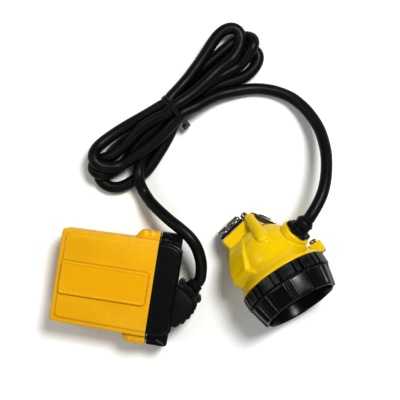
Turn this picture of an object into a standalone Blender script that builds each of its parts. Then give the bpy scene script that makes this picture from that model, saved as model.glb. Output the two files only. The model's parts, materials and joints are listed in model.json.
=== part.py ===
"""Miner's cap lamp: a belt battery, its rubber cable folded in a hank, and the lamp head.

The origin is on the floor under the battery, +X runs along the battery towards its cap, +Y towards the hank
and +Z up. Lengths are in millimetres here and are scaled to metres when a mesh is made.
The lamp head has its own frame, HEAD: its Z is the lamp axis, its X points to the cable's side.
"""
import math

import bmesh
import bpy
from mathutils import Matrix, Vector

MM = 0.001
GAP = 0.3
ROUND_STEPS = 32

# Battery, in the world frame
CASE_BACK_Z = 7.0
CASE_RIM_Z = 34.0
CASE_FRONT_Z = 36.0
CASE_FAR_X = -48.0
CASE_MOUTH_X = 29.0
CASE_HALF_FAR = 37.0
CASE_HALF_MOUTH = 38.6
CASE_WALL = 2.5
LUG_START_X = 9.0
LUG_HALF = 45.3
SCREW_Y = 41.6
MID_Z = 20.5
CAP_X = (30.5, 47.0)
CAP_Z = (8.5, 26.0)
CAP_PANEL_HALF = (36.0, 29.5)
CELL_RADIUS = 9.2
CELL_PITCH = 19.2
CELL_Z = 22.0
BELT_SPAN = 52.0
STRAP = 1.5

# Battery gland: it turns the cable from the cap's end face to a heading 54 degrees from +X
GLAND_PIVOT = Vector((49.4, 4.6, 20.5))
GLAND_HEADING = math.radians(54)
GLAND_RADIUS = (34.6, 20.8)
GLAND_CABLE_OFFSET = 9.2
FERRULE_END = 11.6

# Cable, hank and tie
CABLE_DIAMETER = 9.3
CABLE_FLOOR_Z = CABLE_DIAMETER / 2 + GAP
HANK_HEADING = math.radians(54)
HANK_WAIST = Vector((23.0, 144.3, 0.0))
HANK_TOP = 29.0
TIE_HALF = 13.2
TIE_TOP = 30.4
TIE_THICKNESS = 1.3
TIE_WIDTH = 4.8

# Lamp head
HEAD_ORIGIN = Vector((129.9, 24.6, 34.7))
HEAD_AXIS = Vector((0.617, -0.709, 0.342)).normalized()
HEAD_SIDE = Vector((0.755, 0.656, 0.0))
RING_RADIUS = 36.5
RING_DEPTH = 9.4
RING_NOTCHES = 24
SKIRT_RADII = (31.1, 33.2)
SPIGOT_RADIUS = 30.6
BEZEL_RADII = (34.5, 31.4)
BEZEL_Z = (10.0, 26.6)
LENS_RADIUS = 28.6
BOSS_DIRECTION = Vector((0.879, 0.462, -0.128)).normalized()
BOSS_START = Vector((0.0, 0.0, -17.8))
BOSS_RADIUS = 11.8
BOSS_LENGTH = 32.0
NECK_TILT = math.radians(12)
NECK_CENTRE = Vector((-10.5, -3.0, -52.8))
NECK_SIZE = (32.0, 23.0)
SCREW_BOSS_START = Vector((2.8, 8.4, -54.4))
SCREW_BOSS_DIRECTION = Vector((-0.05, 0.437, 0.898)).normalized()
SWITCH_SIDE = math.radians(205)
SWITCH_Z = -21.0
SWITCH_REACH = 30.5
LUG_ANGLE = math.radians(2)
LUG_RADIUS = 35.2


def clear_scene():
    for obj in list(bpy.data.objects):
        bpy.data.objects.remove(obj, do_unlink=True)


def make_material(name, colour, roughness, metallic=0.0):
    material = bpy.data.materials.new(name)
    material.use_nodes = True
    shader = material.node_tree.nodes["Principled BSDF"]
    shader.inputs["Base Color"].default_value = (*colour, 1.0)
    shader.inputs["Roughness"].default_value = roughness
    shader.inputs["Metallic"].default_value = metallic
    return material


def make_frame(name, matrix, parent=None):
    """An empty that holds a local frame; its matrix is in millimetres."""
    frame = bpy.data.objects.new(name, None)
    bpy.context.scene.collection.objects.link(frame)
    frame.empty_display_size = 0.01
    frame.parent = parent
    place(frame, matrix)
    return frame


def place(obj, matrix):
    scaled = matrix.copy()
    scaled.translation = matrix.translation * MM
    obj.matrix_local = scaled


def make_object(name, bm, material=None, parent=None, matrix=None, smooth_angle=32):
    """Turns a bmesh drawn in millimetres into a named object."""
    bmesh.ops.scale(bm, vec=(MM, MM, MM), verts=bm.verts)
    bmesh.ops.recalc_face_normals(bm, faces=bm.faces)
    mesh = bpy.data.meshes.new(name)
    bm.to_mesh(mesh)
    bm.free()
    mesh.shade_smooth()
    mesh.set_sharp_from_angle(angle=math.radians(smooth_angle))
    if material is not None:
        mesh.materials.append(material)
    obj = bpy.data.objects.new(name, mesh)
    bpy.context.scene.collection.objects.link(obj)
    obj.parent = parent
    if matrix is not None:
        place(obj, matrix)
    return obj


def combine(target, operation, tools):
    """Adds one exact Boolean for each tool, and hides the tools."""
    for tool in tools:
        tool.hide_render = True
        tool.display_type = "WIRE"
        modifier = target.modifiers.new(tool.name, "BOOLEAN")
        modifier.operation = operation
        modifier.solver = "EXACT"
        modifier.object = tool


def loft(sections, closed=False):
    """Bridges rings of equally many points. An open loft gets a flat cap at each end."""
    bm = bmesh.new()
    rings = [[bm.verts.new(point) for point in section] for section in sections]
    count = len(rings[0])
    pairs = list(zip(rings, rings[1:]))
    if closed:
        pairs.append((rings[-1], rings[0]))
    for lower, upper in pairs:
        for i in range(count):
            j = (i + 1) % count
            bm.faces.new((lower[i], lower[j], upper[j], upper[i]))
    if not closed:
        bm.faces.new(rings[0][::-1])
        bm.faces.new(rings[-1])
    return bm


def prism(outline, low, high):
    """Extrudes an XY outline from z = low to z = high."""
    return loft([[Vector((x, y, z)) for x, y in outline] for z in (low, high)])


def box(low, high):
    outline = [(low[0], low[1]), (high[0], low[1]), (high[0], high[1]), (low[0], high[1])]
    return prism(outline, low[2], high[2])


def turned(profile, steps=ROUND_STEPS, hollow=False):
    """Turns (radius, z) points round Z. A hollow profile is a closed loop clear of the axis."""
    rings = [
        [Vector((r * math.cos(a), r * math.sin(a), z)) for a in angles(steps)]
        for r, z in profile
    ]
    return loft(rings, closed=hollow)


def angles(steps):
    return [2 * math.pi * i / steps for i in range(steps)]


def cylinder(radius, low, high, steps=ROUND_STEPS):
    return turned([(radius, low), (radius, high)], steps)


def rounded_outline(corners, steps=5):
    """A closed outline whose corners, given as (x, y, radius), are arcs. It runs anticlockwise."""
    points = []
    count = len(corners)
    for i, (x, y, radius) in enumerate(corners):
        here = Vector((x, y))
        back = (Vector(corners[i - 1][:2]) - here).normalized()
        ahead = (Vector(corners[(i + 1) % count][:2]) - here).normalized()
        if radius == 0:
            points.append(tuple(here))
            continue
        half = back.angle(ahead) / 2
        middle = here + (back + ahead).normalized() * (radius / math.sin(half))
        start = here + back * (radius / math.tan(half)) - middle
        end = here + ahead * (radius / math.tan(half)) - middle
        sweep = start.angle_signed(end)
        for k in range(steps + 1):
            turn = Matrix.Rotation(-sweep * k / steps, 2)
            points.append(tuple(middle + turn @ start))
    return points


def along(point, direction, roll=None):
    """A frame at a point whose Z is the direction; roll gives the rough direction of its X."""
    z = Vector(direction).normalized()
    guide = Vector(roll) if roll is not None else Vector((0, 0, 1))
    if abs(z.dot(guide.normalized())) > 0.999:
        guide = Vector((1, 0, 0))
    x = (guide - z * guide.dot(z)).normalized()
    y = z.cross(x)
    matrix = Matrix((x, y, z)).transposed().to_4x4()
    matrix.translation = Vector(point)
    return matrix


def screw_mesh(head_radius, head_height, shaft_radius, shaft_length, drive_radius):
    """A pan-head screw along Z: its head stands above z = 0, with a hexagonal drive recess."""
    return turned(
        [
            (shaft_radius, -shaft_length),
            (shaft_radius, 0),
            (head_radius, 0),
            (head_radius, 0.6 * head_height),
            (0.72 * head_radius, head_height),
            (drive_radius, head_height),
            (drive_radius, 0.35 * head_height),
        ],
        steps=18,
    )


def screw(name, material, parent, matrix, **sizes):
    return make_object(name, screw_mesh(**sizes), material, parent, matrix)


def smooth_curve(points, spacing):
    """Reads evenly spaced points from a smooth curve through the route's points."""
    dense = []
    count = len(points)
    for i in range(count - 1):
        p0 = points[max(i - 1, 0)]
        p1, p2 = points[i], points[i + 1]
        p3 = points[min(i + 2, count - 1)]
        for k in range(20):
            t = k / 20
            dense.append(0.5 * (2 * p1 + (p2 - p0) * t + (2 * p0 - 5 * p1 + 4 * p2 - p3) * t**2
                                + (3 * p1 - p0 - 3 * p2 + p3) * t**3))
    dense.append(points[-1])
    lengths = [0.0]
    for a, b in zip(dense, dense[1:]):
        lengths.append(lengths[-1] + (b - a).length)
    steps = max(2, round(lengths[-1] / spacing))
    result, k = [], 0
    for i in range(steps + 1):
        target = lengths[-1] * i / steps
        while k < len(lengths) - 2 and lengths[k + 1] < target:
            k += 1
        t = (target - lengths[k]) / (lengths[k + 1] - lengths[k])
        result.append(dense[k].lerp(dense[k + 1], t))
    return result


def tube(name, points, diameter, material):
    """A filled curve with a round bevel."""
    curve = bpy.data.curves.new(name, "CURVE")
    curve.dimensions = "3D"
    curve.bevel_depth = diameter / 2 * MM
    curve.bevel_resolution = 2
    curve.use_fill_caps = True
    spline = curve.splines.new("POLY")
    spline.points.add(len(points) - 1)
    for item, point in zip(spline.points, points):
        item.co = (*(point * MM), 1.0)
    curve.materials.append(material)
    obj = bpy.data.objects.new(name, curve)
    bpy.context.scene.collection.objects.link(obj)
    return obj


# ---------------------------------------------------------------- battery


def case_section(z, inset, mouth_x=CASE_MOUTH_X):
    """The case's outline at one height, pulled in on every side but the mouth."""
    far = CASE_FAR_X + inset
    half_far = CASE_HALF_FAR - inset
    half_mouth = CASE_HALF_MOUTH - inset
    outline = rounded_outline(
        [(mouth_x, -half_mouth, 0), (mouth_x, half_mouth, 0), (far, half_far, 3), (far, -half_far, 3)]
    )
    return [Vector((x, y, z)) for x, y in outline]


def build_case(material):
    sections = [
        case_section(CASE_BACK_Z, 1.2),
        case_section(CASE_BACK_Z + 1.2, 0),
        case_section(CASE_RIM_Z - 1.0, 0),
        case_section(CASE_RIM_Z, 0.9),
        case_section(CASE_RIM_Z + 0.2, 3.4),
        case_section(CASE_FRONT_Z, 5.2),
    ]
    case = make_object("battery_case", loft(sections), material, smooth_angle=25)
    lugs = [make_object(f"case_lug_tool_{side}", lug_bmesh(side)) for side in (-1, 1)]
    combine(case, "UNION", lugs)
    inner = CASE_HALF_FAR - CASE_WALL
    hollow = make_object(
        "case_hollow_tool",
        box(
            (CASE_FAR_X + CASE_WALL, -inner, CASE_BACK_Z + CASE_WALL),
            (CASE_MOUTH_X + 5, inner, CASE_RIM_Z - 1.0),
        ),
    )
    holes = [
        make_object(f"case_screw_hole_{side}", cylinder(1.8, -13, 5, 12), matrix=cap_screw_frame(side))
        for side in (-1, 1)
    ]
    holes += [
        make_object(f"case_strap_hole_{i}", cylinder(1.5, -1, 2.0, 12), matrix=m)
        for i, m in enumerate(strap_screw_frames())
    ]
    combine(case, "DIFFERENCE", [hollow] + holes)
    return case


def lug_bmesh(side):
    """A lug beside the mouth that takes a cap screw, rounded where it runs out into the side wall."""
    inner = CASE_HALF_FAR - 1
    corners = [
        (LUG_START_X, inner, 0),
        (CASE_MOUTH_X, inner, 0),
        (CASE_MOUTH_X, LUG_HALF, 0),
        (LUG_START_X + 6, LUG_HALF - 0.6, 5),
        (LUG_START_X, CASE_HALF_FAR + 1.5, 1),
    ]
    outline = rounded_outline(corners)
    middle = 0.5 * (LUG_HALF + inner)
    sections = []
    for z, inset in ((13.0, 3.0), (14.5, 0.8), (16.5, 0), (26.0, 0), (28.5, 0.8), (30.5, 3.0)):
        ring = []
        for x, y in outline:
            pulled = min(y, max(middle, LUG_HALF - inset))
            ring.append(Vector((x, side * pulled, z)))
        sections.append(ring)
    return loft(sections)


def cap_screw_frame(side):
    """The cap screw's axis runs along X, with its head outwards."""
    return along((CASE_MOUTH_X, side * SCREW_Y, MID_Z), (1, 0, 0))


def cap_outline():
    return rounded_outline(
        [(CAP_X[0], -LUG_HALF, 0), (CAP_X[1], -LUG_HALF, 2), (CAP_X[1], LUG_HALF, 2), (CAP_X[0], LUG_HALF, 0)]
    )


def panel_outline(inset):
    """The raised front of the cap: straight along the case, with a round corner at each end."""
    near, far = CAP_PANEL_HALF[0] - inset, CAP_PANEL_HALF[1] - inset
    outer = CAP_X[1] - inset
    right = [(CAP_X[0], near)]
    for k in range(9):
        angle = math.radians(90 * k / 8)
        x = CAP_X[0] + 4 + (outer - CAP_X[0] - 4) * math.sin(angle)
        y = far + (near - far) * math.cos(angle)
        right.append((x, y))
    return right + [(x, -y) for x, y in reversed(right)]


def build_cap(material):
    cap = make_object("battery_cap", prism(cap_outline(), *CAP_Z), material)
    panel_sections = [
        [Vector((x, y, z)) for x, y in panel_outline(inset)]
        for z, inset in ((CAP_Z[0] + 8, 0.3), (CASE_FRONT_Z - 1.2, 0.3), (CASE_FRONT_Z, 1.5))
    ]
    panel = make_object("cap_panel_tool", loft(panel_sections))
    combine(cap, "UNION", [panel])
    tools = [make_object("cap_pocket_tool", box((CAP_X[0] - 2, -32.5, 11.5), (CAP_X[0] + 9, 32.5, 32.5)))]
    for side in (-1, 1):
        frame = cap_screw_frame(side)
        tools.append(make_object(f"cap_hole_{side}", cylinder(1.9, -2, 30, 12), matrix=frame))
        tools.append(make_object(f"cap_counterbore_{side}", cylinder(3.9, 12.5, 25, 20), matrix=frame))
    tools.append(
        make_object("cap_wire_hole", cylinder(3.0, -1, 25, 16), matrix=along((35, -12, MID_Z), (1, 0, 0)))
    )
    combine(cap, "DIFFERENCE", tools)
    return cap


def build_battery(materials):
    yellow, black, steel = materials["yellow_case"], materials["black_cap"], materials["steel"]
    build_case(yellow)
    plate_outline = rounded_outline([(25, -14.5, 2.5), (25, 11.8, 2.5), (-44, 11.8, 2.5), (-44, -14.5, 2.5)])
    plate_z = CASE_FRONT_Z + GAP
    plate = make_object("name_plate", prism(plate_outline, plate_z, plate_z + 1.4), materials["plate"])
    notch = make_object("plate_step_tool", box((-46, -20, plate_z - 3), (-42.5, 20, plate_z - 0.1)))
    combine(plate, "DIFFERENCE", [notch])
    build_cap(black)

    gasket_x = (CASE_MOUTH_X + GAP, CAP_X[0] - GAP)
    outer = make_object(
        "cap_gasket", box((gasket_x[0], -36.4, 8.2), (gasket_x[1], 36.4, 33.2)), materials["rubber"]
    )
    inner = make_object("gasket_tool", box((gasket_x[0] - 1, -34, 10), (gasket_x[1] + 1, 34, 32.2)))
    combine(outer, "DIFFERENCE", [inner])

    for index, side in enumerate((1, -1), 1):
        frame = cap_screw_frame(side) @ Matrix.Translation((0, 0, 12.9))
        screw(f"cap_screw_{index}", steel, None, frame,
              head_radius=3.4, head_height=2.8, shaft_radius=1.5, shaft_length=24.0, drive_radius=1.3)

    tray = make_object("cell_tray", box((-44.5, -33.5, 9.9), (24, 33.5, 11.4)), materials["black_inner"])
    ends = [
        make_object("tray_end_tool_1", box((-44.5, -33.5, 10.5), (-42.8, 33.5, 18))),
        make_object("tray_end_tool_2", box((22.8, -33.5, 10.5), (24, 33.5, 18))),
    ]
    combine(tray, "UNION", ends)
    for index in range(3):
        y = (index - 1) * CELL_PITCH
        frame = along((-42.2, y, CELL_Z), (1, 0, 0))
        profile = [(CELL_RADIUS, 0), (CELL_RADIUS, 63.5), (4.0, 63.5), (4.0, 64.6)]
        make_object(f"cell_{index + 1}", turned(profile, 20), materials["cell_wrap"], matrix=frame)
    make_object("protection_board", box((24.6, -30, 12.5), (26.2, 30, 31.5)), materials["board"])
    build_belt_loop(steel)


def strap_screw_frames():
    frames = []
    for x in (-BELT_SPAN / 2 - 5.8 - 5.5, BELT_SPAN / 2 - 5.5 + 5.4):
        for y in (-22, 22):
            frames.append(along((x, y, CASE_BACK_Z), (0, 0, 1)))
    return frames


def build_belt_loop(material):
    """A bridge of steel strap under the case: the belt passes through it along Y."""
    left, right = -BELT_SPAN / 2 - 5.5, BELT_SPAN / 2 - 5.5
    foot = CASE_BACK_Z - GAP
    low, high = left - 10, right + 8.3
    profile = [
        (low, foot - STRAP), (left - STRAP, foot - STRAP), (left - STRAP, 0), (right + STRAP, 0),
        (right + STRAP, foot - STRAP), (high, foot - STRAP), (high, foot), (right, foot),
        (right, STRAP), (left, STRAP), (left, foot), (low, foot),
    ]
    sections = [[Vector((x, y, z)) for x, z in profile] for y in (-30, 30)]
    loop = make_object("belt_loop", loft(sections), material)
    frames = strap_screw_frames()
    holes = [
        make_object(f"strap_hole_{i}", cylinder(1.5, -4, 2, 12), matrix=frame)
        for i, frame in enumerate(frames)
    ]
    combine(loop, "DIFFERENCE", holes)
    for index, frame in enumerate(frames, 1):
        seat = Matrix.Translation(frame.translation - Vector((0, 0, GAP + STRAP + GAP)))
        flipped = seat @ Matrix.Rotation(math.pi, 4, "X")
        screw(f"belt_loop_screw_{index}", material, None, flipped,
              head_radius=2.8, head_height=1.7, shaft_radius=1.2, shaft_length=3.6, drive_radius=1.0)


# ---------------------------------------------------------------- battery gland


def gland_point(across, ahead, z):
    """A point from the gland's pivot: across the outlet, and ahead along the cable's heading."""
    heading = Vector((math.cos(GLAND_HEADING), math.sin(GLAND_HEADING), 0))
    side = Vector((heading.y, -heading.x, 0))
    point = GLAND_PIVOT + side * across + heading * ahead
    point.z = z
    return point


def boot_section(angle, reach, height):
    """A rounded section of the boot in the upright plane at this angle through the pivot."""
    outline = rounded_outline([(reach, -height, 5), (reach, height, 5), (0.6, height, 1), (0.6, -height, 1)], 3)
    direction = Vector((math.cos(angle), math.sin(angle), 0))
    return [GLAND_PIVOT + direction * r + Vector((0, 0, z)) for r, z in outline]


def build_gland(materials):
    rubber, black, steel = materials["rubber"], materials["black_cap"], materials["steel"]
    first, last = math.radians(-90), GLAND_HEADING - math.radians(90)
    ribs = 5
    sections = []
    base = boot_section(first, GLAND_RADIUS[0], 9.5)
    sections.append([p - Vector((GLAND_PIVOT.x - CAP_X[1] - GAP, 0, 0)) for p in base])
    steps = ribs * 4
    for i in range(steps + 1):
        part = i / steps
        raised = 1.0 if i % 4 in (1, 2) else 0.0
        reach = GLAND_RADIUS[0] * (1 - part) + GLAND_RADIUS[1] * part - 2.0 * (1 - raised)
        height = 9.5 - 1.0 * part - 0.9 * (1 - raised)
        sections.append(boot_section(first + (last - first) * part, reach, height))
    make_object("gland_elbow", loft(sections), rubber, smooth_angle=20)

    across, ahead = (-2.4, 20.6), (GAP + 0.2, 6.2)
    middle = GLAND_CABLE_OFFSET
    for name, low, high in (("gland_clamp_lower", 11.0, 20.35), ("gland_clamp_upper", 20.65, 30.0)):
        outline = [gland_point(a, h, 0) for a, h in
                   ((across[0], ahead[0]), (across[1], ahead[0]), (across[1], ahead[1]), (across[0], ahead[1]))]
        half = make_object(name, prism([(p.x, p.y) for p in outline], low, high), black)
        inner_end = 30.4 if high > 25 else 10.6
        core = make_object(
            name + "_core_tool", cylinder(5.0, -3, 12, 20),
            matrix=along(gland_point(middle, 0, GLAND_PIVOT.z), gland_point(0, 1, 0) - gland_point(0, 0, 0)),
        )
        holes = [
            make_object(f"{name}_hole_{i}", cylinder(1.5, 5, 35, 12),
                        matrix=Matrix.Translation((gland_point(a, 3.4, 0).x, gland_point(a, 3.4, 0).y, 0)))
            for i, a in enumerate((0.6, 17.8))
        ]
        seats = []
        if inner_end > 25:
            seats = [
                make_object(f"{name}_seat_{i}", cylinder(2.7, 28.2, 35, 16),
                            matrix=Matrix.Translation((gland_point(a, 3.4, 0).x, gland_point(a, 3.4, 0).y, 0)))
                for i, a in enumerate((0.6, 17.8))
            ]
        combine(half, "DIFFERENCE", [core] + holes + seats)
    for index, a in enumerate((0.6, 17.8), 1):
        spot = gland_point(a, 3.4, 28.5)
        screw(f"clamp_screw_{index}", steel, None, Matrix.Translation(spot),
              head_radius=2.35, head_height=1.6, shaft_radius=1.2, shaft_length=16.0, drive_radius=0.9)

    heading = gland_point(0, 1, 0) - gland_point(0, 0, 0)
    profile = [(4.6, 0.8), (4.6, 6.5), (6.5, 6.5), (6.5, 8.2), (5.8, 9.0), (5.6, FERRULE_END)]
    make_object(
        "gland_ferrule", turned(profile, 20), rubber,
        matrix=along(gland_point(middle, 0, GLAND_PIVOT.z), heading),
    )


# ---------------------------------------------------------------- cable and hank


def battery_cable_route():
    """From the battery's clamp up over the cap's corner, then down on the floor to the hank."""
    start = gland_point(GLAND_CABLE_OFFSET, FERRULE_END + GAP, GLAND_PIVOT.z)
    heading = gland_point(0, 1, 0) - gland_point(0, 0, 0)
    points = [
        start + heading * 2, Vector((65.6, 15.2, 22.6)), Vector((64.8, 23.4, 26.4)), Vector((62.3, 31.0, 30.0)),
        Vector((58.2, 38.4, 32.6)), Vector((52.1, 44.8, 33.4)), Vector((43.5, 50.4, 32.4)),
        Vector((34.7, 55.3, 29.0)), Vector((25.4, 61.0, 22.6)), Vector((16.8, 67.0, 15.4)),
        Vector((10.2, 73.4, 9.6)), Vector((7.2, 77.4, 7.8)),
    ]
    return start, points


def head_cable_route(end, heading):
    """From the hank's tie in a wide arc over the floor, up to the head's gland."""
    return [
        Vector((46.0, 153.6, 11.0)), Vector((53.4, 159.0, 9.2)), Vector((62.6, 164.6, 7.2)),
        Vector((82.3, 171.8, CABLE_FLOOR_Z)), Vector((98.7, 173.5, CABLE_FLOOR_Z)),
        Vector((114.1, 170.8, 6.4)), Vector((124.5, 165.4, 9.0)), Vector((133.5, 157.7, 13.0)),
        Vector((142.5, 145.8, 19.0)), Vector((148.4, 129.8, 28.0)), Vector((150.4, 114.0, 36.0)),
        Vector((149.8, 99.4, 42.2)), Vector((147.0, 87.6, 45.2)), end + heading * 2,
    ]


def hank_outline():
    """Two lobes of folded cable joined by a narrow waist at the tie."""
    return rounded_outline(
        [
            (45.0, 207.0, 30), (13.2, 150.6, 20), (-31.0, 117.0, 22), (-43.5, 91.0, 14), (-19.0, 67.5, 16),
            (-0.5, 79.5, 10), (32.4, 134.6, 20), (36.4, 142.9, 5), (44.0, 163.5, 10), (79.0, 177.0, 15),
            (93.0, 199.0, 14), (65.0, 227.5, 16),
        ],
        6,
    )


def tie_frame():
    """At the waist: Z runs along the hank, X across it and Y up."""
    direction = Vector((math.cos(HANK_HEADING), math.sin(HANK_HEADING), 0))
    return along(HANK_WAIST, direction, roll=(direction.y, -direction.x, 0))


def tie_ring(grow, thickness, width):
    """A band round the waist. Its outline is rounded, and it stands just clear of the floor."""
    def outline(out):
        low, high = 0.25 + TIE_THICKNESS - out, TIE_TOP - TIE_THICKNESS + out
        half = TIE_HALF - TIE_THICKNESS + out
        radius = 4 + out
        return rounded_outline(
            [(-half, -high, radius), (half, -high, radius), (half, -low, radius), (-half, -low, radius)], 4
        )
    inner = [(x, y) for x, y in outline(-grow)]
    outer = [(x, y) for x, y in outline(thickness)]
    half_width = width / 2
    sections = [
        [Vector((x, y, -half_width)) for x, y in outer],
        [Vector((x, y, half_width)) for x, y in outer],
        [Vector((x, y, half_width)) for x, y in inner],
        [Vector((x, y, -half_width)) for x, y in inner],
    ]
    return loft(sections, closed=True)


def build_cable(materials, head_end, head_heading):
    cable, black = materials["cable"], materials["tie"]
    spacing = 2.2 * CABLE_DIAMETER
    start, route = battery_cable_route()
    tube("cable_battery_end", [start] + smooth_curve(route, spacing / 2), CABLE_DIAMETER, cable)
    route = head_cable_route(head_end, head_heading)
    tube("cable_head_end", smooth_curve(route, spacing / 2) + [head_end], CABLE_DIAMETER, cable)
    hank = make_object("cable_hank", prism(hank_outline(), GAP, HANK_TOP), cable)
    frame = tie_frame()
    groove = make_object("hank_groove_tool", tie_ring(GAP, 6.0, TIE_WIDTH + 0.8), matrix=frame)
    combine(hank, "DIFFERENCE", [groove])
    make_object("cable_tie", tie_ring(0.0, TIE_THICKNESS, TIE_WIDTH), black, matrix=frame)
    make_object("cable_tie_head", box((TIE_HALF + GAP, -9.5, -2.9), (TIE_HALF + 6.5, -2.5, 2.9)), black,
                matrix=frame)


# ---------------------------------------------------------------- lamp head


def head_matrix():
    y = HEAD_AXIS.cross(HEAD_SIDE).normalized()
    x = y.cross(HEAD_AXIS).normalized()
    matrix = Matrix((x, y, HEAD_AXIS)).transposed().to_4x4()
    matrix.translation = HEAD_ORIGIN
    return matrix


def neck_matrix():
    """The rear face of the neck: Z points out of it, backwards."""
    normal = Vector((-math.sin(NECK_TILT), 0, -math.cos(NECK_TILT)))
    return along(NECK_CENTRE, normal, roll=(math.cos(NECK_TILT), 0, -math.sin(NECK_TILT)))


def boss_matrix():
    return along(BOSS_START, BOSS_DIRECTION, roll=(0, 1, 0))


def button_matrix():
    """The switch's axis: Z points out of the fairing."""
    normal = Vector((math.cos(SWITCH_SIDE), math.sin(SWITCH_SIDE), 0))
    return along(normal * SWITCH_REACH + Vector((0, 0, SWITCH_Z)), normal, roll=(0, 0, 1))


def lug_matrix():
    spot = Vector((LUG_RADIUS * math.cos(LUG_ANGLE), LUG_RADIUS * math.sin(LUG_ANGLE), 0))
    return Matrix.Translation(spot) @ Matrix.Rotation(LUG_ANGLE, 4, "Z")


def build_shell(head, material):
    seat = -0.1
    dome = [
        (SPIGOT_RADIUS, 8.0), (SPIGOT_RADIUS, seat), (SPIGOT_RADIUS + 0.4, seat), (35.8, seat), (35.9, -0.6),
        (35.2, -2.6), (32.2, -6.5), (29.6, -11.5), (28.4, -18.0), (27.0, -25.0), (24.2, -32.0), (19.5, -38.5),
        (13.0, -43.5), (6.0, -46.5),
    ]
    shell = make_object("head_shell", turned(dome, 48), material, head, smooth_angle=40)

    neck = neck_matrix()
    wide, tall = NECK_SIZE
    neck_corners = [(wide / 2, -tall / 2, 3), (wide / 2, tall / 2, 3), (-wide / 2, tall / 2, 3),
                    (-wide / 2, -tall / 2, 3)]
    neck_outline = rounded_outline(neck_corners, 3)
    neck_body = make_object("neck_tool", prism(neck_outline, -26, 0), None, head, neck)
    screw_boss = make_object(
        "screw_boss_tool", turned([(4.7, 0), (4.8, 20), (4.5, 23.5), (3.4, 26.3), (1.6, 27.8)], 20), None, head,
        along(SCREW_BOSS_START, SCREW_BOSS_DIRECTION, roll=(1, 0, 0)),
    )
    boss = make_object(
        "cable_boss_tool",
        turned([(13.2, 6), (12.8, 20), (11.9, 24.0), (11.5, 26.2), (BOSS_RADIUS, 26.6),
                (BOSS_RADIUS, BOSS_LENGTH)], 32),
        None, head, boss_matrix(),
    )
    combine(shell, "UNION", [neck_body, screw_boss, boss, build_fairing_tool(head), build_lug_tool(head)])

    cavity = make_object(
        "shell_cavity_tool",
        turned([(27.5, 12), (27.5, -3), (25.8, -12), (24.8, -20), (22.0, -29), (16.0, -36), (8.0, -40)], 40),
        None, head,
    )
    neck_cavity = make_object("neck_cavity_tool", box((-12, -8, 4), (12, 7, 26)), None, head,
                              neck @ Matrix.Rotation(math.pi, 4, "X"))
    passage = make_object("cable_passage_tool", cylinder(6.0, 10, 40, 20), None, head, boss_matrix())
    button = button_matrix()
    switch_pocket = make_object("switch_pocket_tool", box((-6.5, -6.5, -12), (6.5, 6.5, -1.0)), None, head,
                                button)
    button_hole = make_object("button_hole_tool", cylinder(4.6, -5, 12, 20), None, head, button)
    lock_hole = make_object("lock_hole_tool", cylinder(1.9, -12, 4, 14), None, head, lug_matrix())
    bracket_holes = [
        make_object(f"bracket_hole_{i}", cylinder(1.5, -3.4, 2, 12), None, head, neck @ m)
        for i, m in enumerate(bracket_screw_spots())
    ]
    combine(shell, "DIFFERENCE",
            [cavity, neck_cavity, passage, switch_pocket, button_hole, lock_hole] + bracket_holes)
    return shell


def build_fairing_tool(head):
    """The switch housing: a blister on the side away from the cable, with a flat end behind the ring."""
    sections = []
    stations = [(-40.2, 25.2, 11.0, 15.6), (-34.5, 28.9, 13.8, 19.4), (-28.8, 32.0, 16.7, 21.8),
                (-21.5, 35.1, 19.4, 22.6), (-15.4, 36.5, 22.0, 22.9), (-6.7, 31.9, 16.0, 27.0)]
    for z, reach, ridge_x, ridge_y in stations:
        outline = [(-0.955, 0.34), (-1.0, 0.0), (-0.895, -0.417), (-0.70, -0.68)]
        points = [(4, ridge_y - 6), (-ridge_x, ridge_y)] + [(reach * x, reach * y) for x, y in outline]
        points += [(-4, -ridge_y * 0.9)]
        sections.append([Vector((x, y, z)) for x, y in points])
    return make_object("fairing_tool", loft(sections), None, head)


def build_lug_tool(head):
    """The block beside the ring that carries the lock screw."""
    outline = rounded_outline([(4.9, -4.4, 1), (4.9, 4.4, 1), (-6, 4.4, 0), (-6, -4.4, 0)], 3)
    return make_object("lock_lug_tool", prism(outline, -7.4, -0.4), None, head, lug_matrix())


def bracket_screw_spots():
    return [Matrix.Translation((12.2, 7.0, 0)), Matrix.Translation((12.2, -7.0, 0))]


def ring_outline(radius, notch_radius, notches):
    """A round outline with square notches, and one notch centred on the lock screw."""
    points = []
    pitch = 2 * math.pi / notches
    half_notch = 0.17 * pitch
    for i in range(notches):
        centre = LUG_ANGLE + i * pitch
        for angle, r in (
            (centre - half_notch, radius), (centre - half_notch, notch_radius),
            (centre + half_notch, notch_radius), (centre + half_notch, radius),
            (centre + pitch / 2, radius),
        ):
            points.append((r * math.cos(angle), r * math.sin(angle)))
    return points


def build_ring(head, material):
    ring = make_object(
        "locking_ring", prism(ring_outline(RING_RADIUS, 33.9, RING_NOTCHES), GAP, GAP + RING_DEPTH), material,
        head,
    )
    bore = make_object("ring_bore_tool", cylinder(SKIRT_RADII[1] + GAP, -5, 20, 48), None, head)
    combine(ring, "DIFFERENCE", [bore])
    notch = make_object("ring_lock_tool", cylinder(1.95, -2, 7.5, 14), None, head, lug_matrix())
    combine(ring, "DIFFERENCE", [notch])
    return ring


def build_bezel(head, material):
    low, high = BEZEL_Z
    profile = [
        (SKIRT_RADII[0], 0.5), (SKIRT_RADII[1], 0.5), (SKIRT_RADII[1], low), (BEZEL_RADII[0], low),
        (BEZEL_RADII[1], high - 0.6), (BEZEL_RADII[1] - 0.6, high), (29.4, high), (28.4, high - 1),
        (27.2, 17.6), (27.2, 16.4), (28.9 + GAP, 16.4), (28.9 + GAP, 9.0), (SKIRT_RADII[0], 8.6),
    ]
    bezel = make_object("bezel", turned(profile, 40, hollow=True), material, head, smooth_angle=30)
    return bezel


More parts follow.
